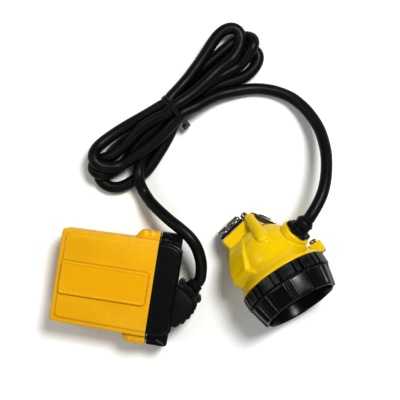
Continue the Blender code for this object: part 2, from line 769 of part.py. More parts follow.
def build_optics(head, materials):
    stack = [
        ("lens", [(LENS_RADIUS, 11.2), (LENS_RADIUS, 13.4), (26.5, 13.8)], "lens_clear"),
        ("led_board", [(23.0, -4.2), (23.0, -2.8)], "board"),
    ]
    for name, profile, slot in stack:
        make_object(name, turned(profile, 40), materials[slot], head)
    make_object("lens_gasket", turned([(27.3, 14.1), (28.8, 14.1), (28.8, 16.1), (27.3, 16.1)], 30, True),
                materials["rubber"], head)
    make_object("bezel_gasket", turned([(27.6, 8.3), (28.8, 8.3), (28.8, 10.9), (27.6, 10.9)], 30, True),
                materials["rubber"], head)
    cup = [(4.5 + 19.5 * math.sqrt(k / 5), -1.6 + 11.2 * k / 5) for k in range(6)]
    inner = [(r - 0.9, z + 0.2) for r, z in reversed(cup)]
    rim = [(26.6, cup[-1][1]), (26.6, cup[-1][1] + 1.0), (inner[0][0], cup[-1][1] + 1.0)]
    reflector = make_object("reflector", turned(cup + rim + inner[1:], 28, True), materials["mirror"], head)
    tools = [
        make_object(f"reflector_hole_{i}", cylinder(2.9, -8, 14, 16), None, head,
                    Matrix.Translation((s * 15.5, 0, 0)))
        for i, s in enumerate((-1, 1))
    ]
    combine(reflector, "DIFFERENCE", tools)
    for index, side in enumerate((-1, 1), 1):
        profile = [(2.9, -2.5), (2.9, -1.6), (2.5, -1.6), (2.5, 4.6), (2.2, 5.8), (1.2, 6.8)]
        make_object(f"aux_led_{index}", turned(profile, 16), materials["led"], head,
                    Matrix.Translation((side * 15.5, 0, 0)))
    make_object("main_led", turned([(3.4, -2.5), (3.4, -1.2), (2.0, -1.2), (1.6, 0.0), (0.8, 0.7)], 20),
                materials["led"], head)
    sink = make_object("heat_sink", cylinder(24.0, -8.2, -4.5, 40), materials["aluminium"], head)
    fins = [
        make_object(f"fin_tool_{k}", box((-15, -9 + 6 * k - 0.8, -14), (15, -9 + 6 * k + 0.8, -7)), None, head)
        for k in range(4)
    ]
    combine(sink, "UNION", fins)
    make_object("driver_board", box((-14, -11, -17.2), (14, 11, -15.6)), materials["board"], head)


def build_switch(head, materials):
    frame = button_matrix()
    make_object("switch_body", box((-5.5, -5.5, -11.3), (5.5, 5.5, -6.2)), materials["black_inner"], head,
                frame)
    profile = [(2.0, -3.4), (5.6, -3.4), (5.6, -1.3 - GAP), (4.2, -1.3 - GAP), (4.2, 5.2), (3.4, 6.0)]
    make_object("switch_button", turned(profile, 24), materials["rubber"], head, frame)
    build_wave_spring(head, frame, materials["steel"])


def build_wave_spring(head, frame, steel):
    """A flat wire bent into three waves: it pushes the button back out."""
    middle, rise, waves, steps = -4.8, 0.42, 3, 36
    sections = []
    for angle in angles(steps):
        z = middle + rise * math.sin(waves * angle)
        direction = Vector((math.cos(angle), math.sin(angle), 0))
        sections.append([direction * r + Vector((0, 0, z + h)) for r, h in
                         ((2.4, -0.3), (4.4, -0.3), (4.4, 0.3), (2.4, 0.3))])
    make_object("switch_spring", loft(sections, closed=True), steel, head, frame)


def build_bracket(head, materials):
    """Steel plate on the neck's rear face, folded forward into the hook blade beside the neck."""
    steel = materials["steel"]
    neck = neck_matrix()
    wide, tall = NECK_SIZE
    sheet = 1.4
    half = wide / 2
    outline = [
        (-half + 1, GAP), (half + 0.6, GAP), (half + 6.0, -13.4), (half + 7.4, -13.0),
        (half + 1.8, GAP + sheet), (-half + 1, GAP + sheet),
    ]
    sections = [[Vector((x, y, z)) for x, z in outline] for y in (-9.0, 9.5)]
    plate = make_object("hook_bracket", loft(sections), steel, head, neck)
    holes = [
        make_object(f"plate_hole_{i}", cylinder(1.5, -1, 4, 12), None, head, neck @ m)
        for i, m in enumerate(bracket_screw_spots())
    ]
    combine(plate, "DIFFERENCE", holes)
    for index, m in enumerate(bracket_screw_spots(), 1):
        screw(f"bracket_screw_{index}", steel, head, neck @ m @ Matrix.Translation((0, 0, GAP + sheet + GAP)),
              head_radius=2.7, head_height=1.8, shaft_radius=1.2, shaft_length=4.6, drive_radius=1.0)
    base = GAP + sheet + GAP
    make_object("contact_insulator", box((-14.2, -9.0, base), (8.6, 9.0, base + 1.6)), materials["black_inner"],
                head, neck)
    clip_base = base + 1.6 + GAP
    for index, x in enumerate((-9.6, 3.2), 1):
        clip_outline = rounded_outline([(x - 4.6, clip_base, 0.8), (x + 4.6, clip_base, 0.8),
                                        (x + 4.6, clip_base + 5.2, 2), (x - 4.6, clip_base + 5.2, 2)], 3)
        rolled = [[Vector((px, py, pz)) for px, pz in clip_outline] for py in (-7.0, 8.0)]
        clip = make_object(f"contact_clip_{index}", loft(rolled), steel, head, neck)
        bore_frame = neck @ along((x, 0, clip_base + 2.7), (0, 1, 0))
        bore = make_object(f"clip_bore_{index}", cylinder(1.7, -12, 12, 16), None, head, bore_frame)
        combine(clip, "DIFFERENCE", [bore])


def build_head_gland(head, materials):
    """The lobed flange and the ferrule that grip the cable at the boss."""
    frame = boss_matrix()
    start = BOSS_LENGTH + GAP
    lobes = 6
    outline = []
    for i in range(48):
        angle = 2 * math.pi * i / 48
        r = 9.6 + 0.9 * math.cos(lobes * angle)
        outline.append((r * math.cos(angle), r * math.sin(angle)))
    flange = make_object("head_gland_flange", prism(outline, start, start + 5.2), materials["rubber"], head,
                         frame)
    bore = make_object("gland_bore_tool", cylinder(5.0, start - 3, start + 9, 20), None, head, frame)
    combine(flange, "DIFFERENCE", [bore])
    ferrule_start = start + 5.2 + GAP
    profile = [(4.6, start + 0.5), (4.6, ferrule_start), (7.3, ferrule_start), (7.3, ferrule_start + 3.0),
               (6.2, ferrule_start + 3.8), (5.7, ferrule_start + 7.0)]
    make_object("head_gland_ferrule", turned(profile, 24), materials["rubber"], head, frame)
    return ferrule_start + 7.0


def build_head(materials):
    head = make_frame("head_frame", head_matrix())
    build_shell(head, materials["yellow_head"])
    build_ring(head, materials["black_bezel"])
    build_bezel(head, materials["black_bezel"])
    build_optics(head, materials)
    build_switch(head, materials)
    build_bracket(head, materials)
    outlet = build_head_gland(head, materials)
    screw("lock_screw", materials["steel"], head, lug_matrix() @ Matrix.Translation((0, 0, -7.4 - 3.0)) @
          Matrix.Rotation(math.pi, 4, "X"),
          head_radius=3.0, head_height=2.2, shaft_radius=1.6, shaft_length=9.8, drive_radius=1.1)
    to_world = head_matrix() @ boss_matrix()
    exit_point = to_world @ Vector((0, 0, outlet + GAP))
    heading = to_world.to_3x3() @ Vector((0, 0, 1))
    return exit_point, heading


def make_materials():
    return {
        "yellow_case": make_material("yellow_case", (0.80, 0.46, 0.01), 0.38),
        "yellow_head": make_material("yellow_head", (0.83, 0.60, 0.01), 0.30),
        "plate": make_material("plate", (0.80, 0.46, 0.01), 0.34),
        "black_cap": make_material("black_cap", (0.02, 0.02, 0.022), 0.45),
        "black_bezel": make_material("black_bezel", (0.02, 0.022, 0.024), 0.38),
        "black_inner": make_material("black_inner", (0.03, 0.03, 0.03), 0.6),
        "rubber": make_material("rubber", (0.018, 0.018, 0.018), 0.65),
        "cable": make_material("cable", (0.03, 0.033, 0.035), 0.55),
        "tie": make_material("tie", (0.01, 0.01, 0.01), 0.4),
        "steel": make_material("steel", (0.62, 0.61, 0.58), 0.32, 1.0),
        "aluminium": make_material("aluminium", (0.75, 0.75, 0.76), 0.35, 1.0),
        "mirror": make_material("mirror", (0.85, 0.85, 0.86), 0.08, 1.0),
        "lens_clear": make_material("lens_clear", (0.85, 0.9, 0.92), 0.05),
        "led": make_material("led", (0.9, 0.85, 0.5), 0.2),
        "board": make_material("board", (0.03, 0.22, 0.08), 0.5),
        "cell_wrap": make_material("cell_wrap", (0.1, 0.3, 0.6), 0.35),
    }


def main():
    clear_scene()
    materials = make_materials()
    build_battery(materials)
    build_gland(materials)
    exit_point, heading = build_head(materials)
    build_cable(materials, exit_point, heading)


main()
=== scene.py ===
"""Looks for the miner's cap lamp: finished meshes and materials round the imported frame.

Lengths are in millimetres and are scaled to metres when a mesh is made. The origin is on the floor under
the battery, +X runs along the battery towards its cap, +Y towards the folded cable and +Z up.
The lamp head has its own frame, HEAD: Z is the lamp axis and X points to the cable's side.
"""

import json
from math import cos, pi, radians, sin, sqrt, tan

import bmesh
import bpy
import numpy as np
from mathutils import Matrix, Vector


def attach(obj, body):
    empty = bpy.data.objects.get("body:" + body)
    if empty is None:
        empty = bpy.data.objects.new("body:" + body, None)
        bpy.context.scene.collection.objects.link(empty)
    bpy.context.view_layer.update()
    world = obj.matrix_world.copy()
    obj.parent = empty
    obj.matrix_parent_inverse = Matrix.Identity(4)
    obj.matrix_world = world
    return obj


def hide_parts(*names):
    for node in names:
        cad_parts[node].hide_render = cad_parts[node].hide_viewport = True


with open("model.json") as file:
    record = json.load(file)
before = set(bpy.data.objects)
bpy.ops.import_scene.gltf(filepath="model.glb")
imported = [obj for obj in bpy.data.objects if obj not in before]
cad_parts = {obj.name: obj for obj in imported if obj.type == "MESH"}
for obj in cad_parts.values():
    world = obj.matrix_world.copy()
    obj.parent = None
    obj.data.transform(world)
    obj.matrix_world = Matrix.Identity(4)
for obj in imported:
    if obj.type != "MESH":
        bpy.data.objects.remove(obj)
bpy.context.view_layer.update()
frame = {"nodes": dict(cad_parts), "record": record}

MM = 0.001
GAP = 0.3
FINE_STEPS = 1080

# Battery, as in the frame
CASE_BACK_Z = 7.0
CASE_RIM_Z = 34.0
CASE_FRONT_Z = 36.0
CASE_FAR_X = -48.0
CASE_MOUTH_X = 29.0
CASE_HALF_FAR = 37.0
CASE_HALF_MOUTH = 38.6
LUG_START_X = 9.0
LUG_HALF = 45.3
SCREW_Y = 41.6
MID_Z = 20.5
CAP_X = (30.5, 47)
CAP_Z = (8.5, 26)
CAP_PANEL_HALF = (36, 29.5)
GLAND_PIVOT = Vector((49.4, 4.6, 20.5))
GLAND_HEADING = radians(54)
GLAND_RADIUS = (34.6, 20.8)
GLAND_CABLE_OFFSET = 9.2
FERRULE_END = 11.6
CLAMP_SCREW_AHEAD = 3.4
CLAMP_SCREW_ACROSS = (0.6, 17.8)

# Cable and hank
CABLE_DIAMETER = 9.3
FLOOR_GAP = 0.3
HANK_CENTRE = Vector((23, 144.3, 0))
HANK_HEADING = radians(54)

# Lamp head
HEAD_ORIGIN = Vector((129.9, 24.6, 34.7))
HEAD_AXIS = Vector((0.617, -0.709, 0.342)).normalized()
HEAD_SIDE = Vector((0.755, 0.656, 0))
BOSS_DIRECTION = Vector((0.879, 0.462, -0.128)).normalized()
BOSS_START = Vector((0, 0, -17.8))
BOSS_LENGTH = 32.0
FLANGE_HEIGHT = 5.2
SLEEVE_LENGTH = 7.0


# --- mesh helpers ---


def link(obj):
    bpy.context.scene.collection.objects.link(obj)
    return obj


def angles(steps):
    return [2 * pi * i / steps for i in range(steps)]


def on_circle(radius, angle, z):
    return Vector((radius * cos(angle), radius * sin(angle), z))


def axes_at(point, x, y, z):
    matrix = Matrix((x, y, z)).transposed().to_4x4()
    matrix.translation = point
    return matrix


def along(point, direction, roll=None):
    """A frame at a point whose Z is the direction; roll gives the rough direction of its X."""
    z = Vector(direction).normalized()
    guide = Vector(roll) if roll is not None else Vector((0, 0, 1))
    if abs(z.dot(guide.normalized())) > 0.999:
        guide = Vector((1, 0, 0))
    x = (guide - z * guide.dot(z)).normalized()
    return axes_at(Vector(point), x, z.cross(x), z)


HEAD_Y = HEAD_AXIS.cross(HEAD_SIDE).normalized()
HEAD = axes_at(HEAD_ORIGIN, HEAD_Y.cross(HEAD_AXIS).normalized(), HEAD_Y, HEAD_AXIS)
BOSS = along(BOSS_START, BOSS_DIRECTION, roll=(0, 1, 0))


def gland_point(across, ahead, z):
    """A point from the gland's pivot: across the outlet, and ahead along the cable's heading."""
    heading = Vector((cos(GLAND_HEADING), sin(GLAND_HEADING), 0))
    side = Vector((heading.y, -heading.x, 0))
    point = GLAND_PIVOT + side * across + heading * ahead
    point.z = z
    return point


OUTLET_HEADING = gland_point(0, 1, 0) - gland_point(0, 0, 0)
OUTLET = along(gland_point(GLAND_CABLE_OFFSET, 0, GLAND_PIVOT.z), OUTLET_HEADING)


def loft(sections, closed=False):
    """Bridges rings of equally many points. An open loft gets a flat cap at each end."""
    bm = bmesh.new()
    rings = [[bm.verts.new(point) for point in section] for section in sections]
    count = len(rings[0])
    pairs = list(zip(rings, rings[1:]))
    if closed:
        pairs.append((rings[-1], rings[0]))
    for lower, upper in pairs:
        for i in range(count):
            j = (i + 1) % count
            bm.faces.new((lower[i], lower[j], upper[j], upper[i]))
    if not closed:
        bm.faces.new(rings[0][::-1])
        bm.faces.new(rings[-1])
    return bm


def prism(outline, low, high):
    return loft([[Vector((x, y, z)) for x, y in outline] for z in (low, high)])


def slab(outline, low, high):
    """A prism along Y, from an outline of (x, z)."""
    return loft([[Vector((x, y, z)) for x, z in outline] for y in (low, high)])


def stacked(outline_at, rows):
    """A loft through (height, inset) rows; outline_at(inset) gives the outline pulled in by that much."""
    return loft([[Vector((x, y, z)) for x, y in outline_at(inset)] for z, inset in rows])


def moved(bm, matrix):
    bm.transform(matrix)
    return bm


def box(low, high):
    outline = [(low[0], low[1]), (high[0], low[1]), (high[0], high[1]), (low[0], high[1])]
    return prism(outline, low[2], high[2])


def turned(profile, steps=96, hollow=False):
    """Turns (radius, z) points round Z. A hollow profile is a closed loop clear of the axis."""
    return loft([[on_circle(r, a, z) for a in angles(steps)] for r, z in profile], closed=hollow)


def cylinder(radius, low, high, steps=48):
    return turned([(radius, low), (radius, high)], steps)


def wavy(rows, steps, radius_at, closed=False, turn=0):
    """Rings round Z whose radius is radius_at(row, degrees) and whose height is row[1]."""
    degrees = [360 * i / steps for i in range(steps)]
    return loft([[on_circle(radius_at(row, d), radians(d) + turn, row[1]) for d in degrees]
                 for row in rows], closed=closed)


def rounded_outline(corners, steps=8):
    """A closed outline whose corners, given as (x, y, radius), are arcs. It runs anticlockwise."""
    points = []
    count = len(corners)
    for i, (x, y, radius) in enumerate(corners):
        here = Vector((x, y))
        back = (Vector(corners[i - 1][:2]) - here).normalized()
        ahead = (Vector(corners[(i + 1) % count][:2]) - here).normalized()
        if radius == 0:
            points.append(tuple(here))
            continue
        half = back.angle(ahead) / 2
        middle = here + (back + ahead).normalized() * (radius / sin(half))
        start = here + back * (radius / tan(half)) - middle
        end = here + ahead * (radius / tan(half)) - middle
        sweep = start.angle_signed(end)
        for k in range(steps + 1):
            turn = Matrix.Rotation(-sweep * k / steps, 2)
            points.append(tuple(middle + turn @ start))
    return points


def smooth_profile(points, per_span=5):
    """More points on a smooth line through (radius, z) points."""
    line = smooth_curve([Vector((r, z, 0)) for r, z in points], per_span)
    return [(r, z) for r, z, _ in line]


def temporary(bm):
    """A short-lived object, in millimetres, that a Boolean or a remesh works on."""
    bmesh.ops.recalc_face_normals(bm, faces=bm.faces)
    mesh = bpy.data.meshes.new("temporary")
    bm.to_mesh(mesh)
    bm.free()
    return link(bpy.data.objects.new("temporary", mesh))


def shaped(base, unions=(), cuts=(), voxel=0, soften=0, edge=0, segments=3):
    """Booleans, then a moulded softening by remesh and smoothing, or a bevel. Gives a new bmesh."""
    target = temporary(base)
    helpers = [(temporary(bm), "UNION") for bm in unions] + [(temporary(bm), "DIFFERENCE") for bm in cuts]
    for tool, operation in helpers:
        modifier = target.modifiers.new("boolean", "BOOLEAN")
        modifier.operation = operation
        modifier.solver = "EXACT"
        modifier.object = tool
    if voxel:
        remesh = target.modifiers.new("remesh", "REMESH")
        remesh.mode = "VOXEL"
        remesh.voxel_size = voxel
        smooth = target.modifiers.new("smooth", "SMOOTH")
        smooth.factor = 0.5
        smooth.iterations = soften
    if edge:
        rounded = target.modifiers.new("edge", "BEVEL")
        rounded.width = edge
        rounded.segments = segments
        rounded.limit_method = "ANGLE"
        rounded.angle_limit = radians(35)
    evaluated = target.evaluated_get(bpy.context.evaluated_depsgraph_get())
    mesh = evaluated.to_mesh()
    result = bmesh.new()
    result.from_mesh(mesh)
    evaluated.to_mesh_clear()
    for obj in [target] + [tool for tool, _ in helpers]:
        bpy.data.meshes.remove(obj.data)
    return result


def add_piece(name, bm, slot, body="housing", replaces=(), matrix=None, sharp=32):
    """Makes the finished piece, in metres, on its body. Edges bent more than sharp degrees stay crisp."""
    if matrix is not None:
        bm.transform(matrix)
    bmesh.ops.scale(bm, vec=(MM, MM, MM), verts=bm.verts)
    bmesh.ops.recalc_face_normals(bm, faces=bm.faces)
    mesh = bpy.data.meshes.new(name)
    bm.to_mesh(mesh)
    bm.free()
    mesh.shade_smooth()
    mesh.set_sharp_from_angle(angle=radians(sharp))
    mesh.materials.append(FINISHES[slot])
    obj = link(bpy.data.objects.new(name, mesh))
    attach(obj, body)
    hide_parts(*replaces)
    return obj


# --- materials ---


def shader_node(tree, kind, inputs=None, **settings):
    node = tree.nodes.new(kind)
    for key, value in settings.items():
        setattr(node, key, value)
    for key, value in (inputs or {}).items():
        node.inputs[key].default_value = value
    return node


def ranged(tree, source, low, high, start=0.3, end=0.7):
    """Maps a noise value to a range."""
    values = {"From Min": start, "From Max": end, "To Min": low, "To Max": high}
    node = shader_node(tree, "ShaderNodeMapRange", values)
    tree.links.new(source, node.inputs["Value"])
    return node.outputs["Result"]


def mixed(tree, factor, first, second):
    """Mixes two colours; each is a colour or a socket."""
    node = shader_node(tree, "ShaderNodeMix", data_type="RGBA")
    tree.links.new(factor, node.inputs[0])
    for slot, value in ((6, first), (7, second)):
        if hasattr(value, "is_output"):
            tree.links.new(value, node.inputs[slot])
        else:
            node.inputs[slot].default_value = value
    return node.outputs[2]


def make_finish(name, colour, roughness, spread=0.05, shade=0.08, grain=0.6, relief=0.02, metallic=0, coat=0,
                coat_roughness=0.1, wear_and_highlight=None, dust=None, stretch=(1, 1, 1), specular=0.5, transmission=0,
                mottle=18):
    """A procedural surface. The edge colour, which is wear together with a painted highlight along edges, and
    the dust are each a colour and how much of it shows.

    mottle and grain are the sizes of its broad and fine texture and relief is its depth, in millimetres.
    """
    material = bpy.data.materials.new(name)
    material.use_nodes = True
    tree = material.node_tree
    join = tree.links.new
    shader = tree.nodes["Principled BSDF"]
    place = shader_node(tree, "ShaderNodeTexCoord").outputs["Object"]
    mapping = shader_node(tree, "ShaderNodeMapping", {"Scale": stretch})
    join(place, mapping.inputs["Vector"])

    def noise(size, detail, source):
        values = {"Scale": 1 / (size * MM), "Detail": detail, "Roughness": 0.55}
        node = shader_node(tree, "ShaderNodeTexNoise", values)
        join(source, node.inputs["Vector"])
        return node.outputs["Fac"]

    broad = noise(mottle, 3, place)
    middle = noise(4, 4, mapping.outputs["Vector"])
    fine = noise(grain, 3, mapping.outputs["Vector"])
    dark = (*[c * (1 - shade) for c in colour], 1)
    light = (*[min(1, c * (1 + shade)) for c in colour], 1)
    tint = mixed(tree, ranged(tree, broad, 0, 1), dark, light)
    rough = ranged(tree, middle, roughness - spread, roughness + spread)
    if dust is not None:
        spots = ranged(tree, noise(1.6, 6, place), 0, dust[1], 0.55, 0.75)
        tint = mixed(tree, spots, tint, (*dust[0], 1))
    # Edges lighten towards the edge colour by pointiness: partly wear, partly a painted highlight along edges
    if wear_and_highlight is not None:
        edges = shader_node(tree, "ShaderNodeNewGeometry").outputs["Pointiness"]
        amount = shader_node(tree, "ShaderNodeMath", operation="MULTIPLY")
        join(ranged(tree, edges, 0, wear_and_highlight[1], 0.515, 0.60), amount.inputs[0])
        join(ranged(tree, middle, 0.4, 1), amount.inputs[1])
        tint = mixed(tree, amount.outputs[0], tint, (*wear_and_highlight[0], 1))
    join(tint, shader.inputs["Base Color"])
    join(rough, shader.inputs["Roughness"])
    bump = shader_node(tree, "ShaderNodeBump", {"Strength": 0.6, "Distance": relief * MM})
    join(fine, bump.inputs["Height"])
    join(bump.outputs["Normal"], shader.inputs["Normal"])
    for key, value in (("Metallic", metallic), ("Coat Weight", coat), ("Coat Roughness", coat_roughness),
                       ("Specular IOR Level", specular), ("Transmission Weight", transmission)):
        shader.inputs[key].default_value = value
    return material


# Colour and roughness of each finish, then what differs from make_finish's usual values
# Lighter yellow on the edges: wear together with a painted edge highlight
YELLOW_WEAR_AND_HIGHLIGHT = (0.88, 0.58, 0.08)
DARK_DUST = (0.010, 0.011, 0.012)
FINISH_TABLE = {
    "yellow_case": ((0.64, 0.365, 0), 0.36, dict(
        shade=0.05, relief=0.03, grain=0.8, coat=0.04, coat_roughness=0.2, specular=0.26,
        wear_and_highlight=(YELLOW_WEAR_AND_HIGHLIGHT, 0.35), dust=((0.62, 0.38, 0.03), 0.12), mottle=40)),
    "plate": ((0.66, 0.37, 0), 0.32, dict(
        shade=0.04, grain=0.8, coat=0.05, coat_roughness=0.2, specular=0.26, wear_and_highlight=(YELLOW_WEAR_AND_HIGHLIGHT, 0.35),
        mottle=40)),
    "yellow_head": ((0.68, 0.485, 0), 0.24, dict(
        shade=0.04, relief=0.012, grain=1, coat=0.2, coat_roughness=0.09, specular=0.25,
        wear_and_highlight=((0.90, 0.70, 0.10), 0.25), mottle=40)),
    "black_cap": ((0.0026, 0.003, 0.0036), 0.38, dict(
        spread=0.06, shade=0.2, grain=0.45, relief=0.05, wear_and_highlight=((0.08, 0.08, 0.085), 0.5),
        dust=(DARK_DUST, 0.3), specular=0.22)),
    "black_bezel": ((0.0022, 0.003, 0.0038), 0.25, dict(
        shade=0.2, grain=0.4, relief=0.03, wear_and_highlight=((0.11, 0.115, 0.12), 0.55),
        dust=((0.010, 0.012, 0.014), 0.3), specular=0.28)),
    "black_inner": ((0.006, 0.0062, 0.0068), 0.5, dict(shade=0.2, grain=0.5, relief=0.04, specular=0.35)),
    "rubber": ((0.0028, 0.0032, 0.0036), 0.48, dict(
        spread=0.08, shade=0.2, grain=0.5, relief=0.05, wear_and_highlight=((0.05, 0.052, 0.055), 0.4),
        dust=(DARK_DUST, 0.35), specular=0.22)),
    "cable": ((0.0030, 0.0042, 0.0046), 0.42, dict(
        spread=0.07, shade=0.15, grain=0.5, relief=0.04, dust=((0.009, 0.011, 0.012), 0.3), specular=0.24)),
    "tie": ((0.005, 0.005, 0.0055), 0.30, dict(
        shade=0.2, grain=0.5, wear_and_highlight=((0.08, 0.08, 0.08), 0.4), specular=0.4)),
    "steel": ((0.32, 0.30, 0.265), 0.26, dict(
        spread=0.10, shade=0.16, grain=0.35, relief=0.015, metallic=1, stretch=(1, 1, 5),
        dust=((0.16, 0.135, 0.10), 0.35))),
    "black_oxide": ((0.05, 0.05, 0.052), 0.32, dict(
        spread=0.08, shade=0.2, grain=0.35, relief=0.015, metallic=1, wear_and_highlight=((0.30, 0.30, 0.30), 0.6))),
    "aluminium": ((0.75, 0.76, 0.77), 0.35, dict(
        shade=0.06, grain=0.3, relief=0.01, metallic=1, stretch=(6, 1, 1))),
    "mirror": ((0.90, 0.90, 0.89), 0.09, dict(
        spread=0.04, shade=0.02, grain=2.2, relief=0.03, metallic=1)),
    "lens_clear": ((0.97, 0.98, 0.98), 0.035, dict(
        spread=0.02, shade=0.01, grain=3, relief=0.004, transmission=1)),
    "led": ((0.90, 0.78, 0.20), 0.25, dict(
        shade=0.05, grain=0.3, relief=0.01, coat=0.8, coat_roughness=0.05)),
    "board": ((0.82, 0.83, 0.80), 0.40, dict(shade=0.05, grain=0.4, relief=0.01)),
    "cell_wrap": ((0.05, 0.16, 0.42), 0.30, dict(grain=0.8)),
}


# --- the cable ---


def smooth_curve(points, per_span=12):
    """A Catmull-Rom curve through the points."""
    dense = []
    last = len(points) - 1
    for i in range(last):
        p0, p1 = points[max(i - 1, 0)], points[i]
        p2, p3 = points[i + 1], points[min(i + 2, last)]
        for k in range(per_span):
            t = k / per_span
            dense.append(0.5 * (2 * p1 + (p2 - p0) * t + (2 * p0 - 5 * p1 + 4 * p2 - p3) * t**2
                                + (3 * p1 - p0 - 3 * p2 + p3) * t**3))
    dense.append(points[-1])
    return np.array([tuple(p) for p in dense])


def evenly(line, spacing):
    """The same line with points this far apart."""
    steps = np.linalg.norm(np.diff(line, axis=0), axis=1)
    run = np.concatenate([[0], np.cumsum(steps)])
    at = np.linspace(0, run[-1], max(2, round(run[-1] / spacing)) + 1)
    return np.stack([np.interp(at, run, line[:, k]) for k in range(3)], axis=1)


def hank_point(ahead, across, z):
    """A point from the tie: ahead along the hank, away from the battery, and across it."""
    u = Vector((cos(HANK_HEADING), sin(HANK_HEADING), 0))
    v = Vector((u.y, -u.x, 0))
    return HANK_CENTRE + u * ahead + v * across + Vector((0, 0, z))


# The seven strands in the tie: place across the hank, and height
STRANDS = {"bottom": (0, 6.2), "middle": (0, 15.2), "top": (-1, 24), "left_low": (-7.3, 10.7),
           "left_high": (-7.3, 19.7), "right_low": (7.3, 10.7), "right_high": (7.3, 19.7)}


# Each fold of the hank: the strand it ends in, its direction through the tie, and the places it passes
# on its way there, as (ahead, across, height)
FOLDS = [
    ("bottom", 1, [
        (-61.5, 21.5, 13), (-56, 15.5, 14.6), (-49.5, 9.5, 11.5), (-42, 5, 7.4), (-28, 1.5, 5.4)]),
    ("right_low", -1, [
        (36, 0.5, 5), (64, 4.5, 5), (79.5, 8, 5), (82.5, 16, 5), (72, 22, 5), (58, 21, 5), (40, 16.5, 6)]),
    ("left_low", 1, [
        (-36, 16, 6), (-60, 17.5, 5), (-77, 12, 5), (-83, 1, 5), (-77, -9, 5), (-60, -12, 5),
        (-36, -9, 6.5)]),
    ("middle", -1, [
        (36, -7, 13), (66, -6, 14.3), (85, -2, 14.3), (86, 8.5, 14.3), (66, 11.5, 14.3), (36, 7, 14.5)]),
    ("top", 1, [
        (-36, 3.5, 14.3), (-60, 2, 14.1), (-73.5, -1.5, 14.1), (-80.5, -8, 14.3), (-79.5, -15, 14.4),
        (-71, -12.5, 14.8), (-60, -8.8, 15.8), (-48, -7.2, 18), (-34, -6.8, 21), (-18, -4, 23.4)]),
    ("left_high", -1, [
        (16, 3.6, 24), (31, 4.8, 23.6), (46, 4.2, 23.6), (62, 4.9, 23.6), (73, 2.4, 23.6),
        (81, -3.5, 23.6), (82.5, -10.5, 23.6), (76.5, -15.8, 23.6), (66, -16.8, 23.4), (55, -14.6, 23),
        (41, -10.8, 22), (24, -8.6, 20.6)]),
    ("right_high", 1, [
        (-12, -10.2, 17.6), (-23, -14.2, 16.6), (-34, -18.2, 17.8), (-45, -21, 20), (-57, -22.8, 22.4),
        (-68, -21.4, 23.6), (-75, -14.5, 23.6), (-73.5, -6, 23.6), (-64, 1, 23.6), (-53, 4.8, 23.4),
        (-38, 6, 22)]),
]


def hank_route():
    """The folded cable from the battery's side to the arc: each fold, then its pass through the tie."""
    points = []
    for strand, direction, places in FOLDS:
        points += [hank_point(*place) for place in places]
        across, z = STRANDS[strand]
        points += [hank_point(a * direction, across, z) for a in (-5, 0, 5)]
    return points


# From the battery to the hank, and from the hank round the arc to the lamp
BATTERY_ROUTE = [
    (65.6, 15.2, 22.6), (64.8, 23.4, 26.4), (62.3, 31, 30), (58.2, 38.4, 32.6),
    (52.1, 44.8, 33.4), (43.5, 50.4, 32.4), (34.7, 55.3, 29), (25.4, 61, 22.6),
    (16.8, 67, 16.4), (10.2, 73.4, 12.6)]
ARC_ROUTE = [
    (38.4, 147.6, 17.6), (44.6, 152.9, 14.5), (52.4, 159, 11), (62.6, 164.8, 7.6),
    (82.3, 171.8, 4.95), (98.7, 173.5, 4.95), (114.1, 170.8, 6.4), (124.5, 165.4, 9),
    (133.5, 157.7, 13), (142.5, 145.8, 19), (148.4, 129.8, 28), (150.4, 114, 36),
    (149.8, 99.4, 42.2), (147, 87.6, 45.2)]


def settle(line, held, legs, rounds=500):
    """Lets the folds push apart, bend smoothly and rest on one another.

    It is a small position-based relaxation: held points stay, and the rest keep an even spacing.
    """
    line = line.copy()
    rest = line.copy()
    spacing = np.linalg.norm(np.diff(line, axis=0), axis=1).mean()
    first, second = np.triu_indices(len(line), int(2.4 * CABLE_DIAMETER / spacing))
    low = CABLE_DIAMETER / 2 + FLOOR_GAP
    touch = 0.975 * CABLE_DIAMETER
    tension = np.where(legs, 0.16, 0.01)[:, None]
    hold = np.where(legs, 0.004, 0.015)[:, None]
    for _ in range(rounds):
        line[:, 2] -= 0.02
        line[:, :2] += (rest[:, :2] - line[:, :2]) * hold
        bend = np.zeros_like(line)
        bend[1:-1] = (line[:-2] + line[2:]) / 2 - line[1:-1]
        change = np.zeros_like(line)
        change[1:-1] = (bend[:-2] + bend[2:]) / 2 - bend[1:-1]
        line -= 0.2 * change
        line += tension * bend
        apart = line[first] - line[second]
        distance = np.linalg.norm(apart, axis=1)
        near = distance < touch
        push = apart[near] / distance[near, None] * (touch - distance[near, None]) * 0.22
        np.add.at(line, first[near], push)
        np.add.at(line, second[near], -push)
        for _ in range(3):
            steps = np.diff(line, axis=0)
            lengths = np.linalg.norm(steps, axis=1)
            fix = steps * ((lengths - lengths.mean()) / lengths * 0.3)[:, None]
            line[:-1] += fix
            line[1:] -= fix
        line[:, 2] = np.maximum(line[:, 2], low)
        line[held] = rest[held]
    return line


def poly_curve(name, points, diameter):
    curve = bpy.data.curves.new(name, "CURVE")
    curve.dimensions = "3D"
    curve.bevel_depth = diameter / 2 * MM
    curve.bevel_resolution = 6
    curve.use_fill_caps = True
    spline = curve.splines.new("POLY")
    spline.points.add(len(points) - 1)
    for item, point in zip(spline.points, points):
        item.co = (point[0] * MM, point[1] * MM, point[2] * MM, 1)
    return link(bpy.data.objects.new(name, curve))


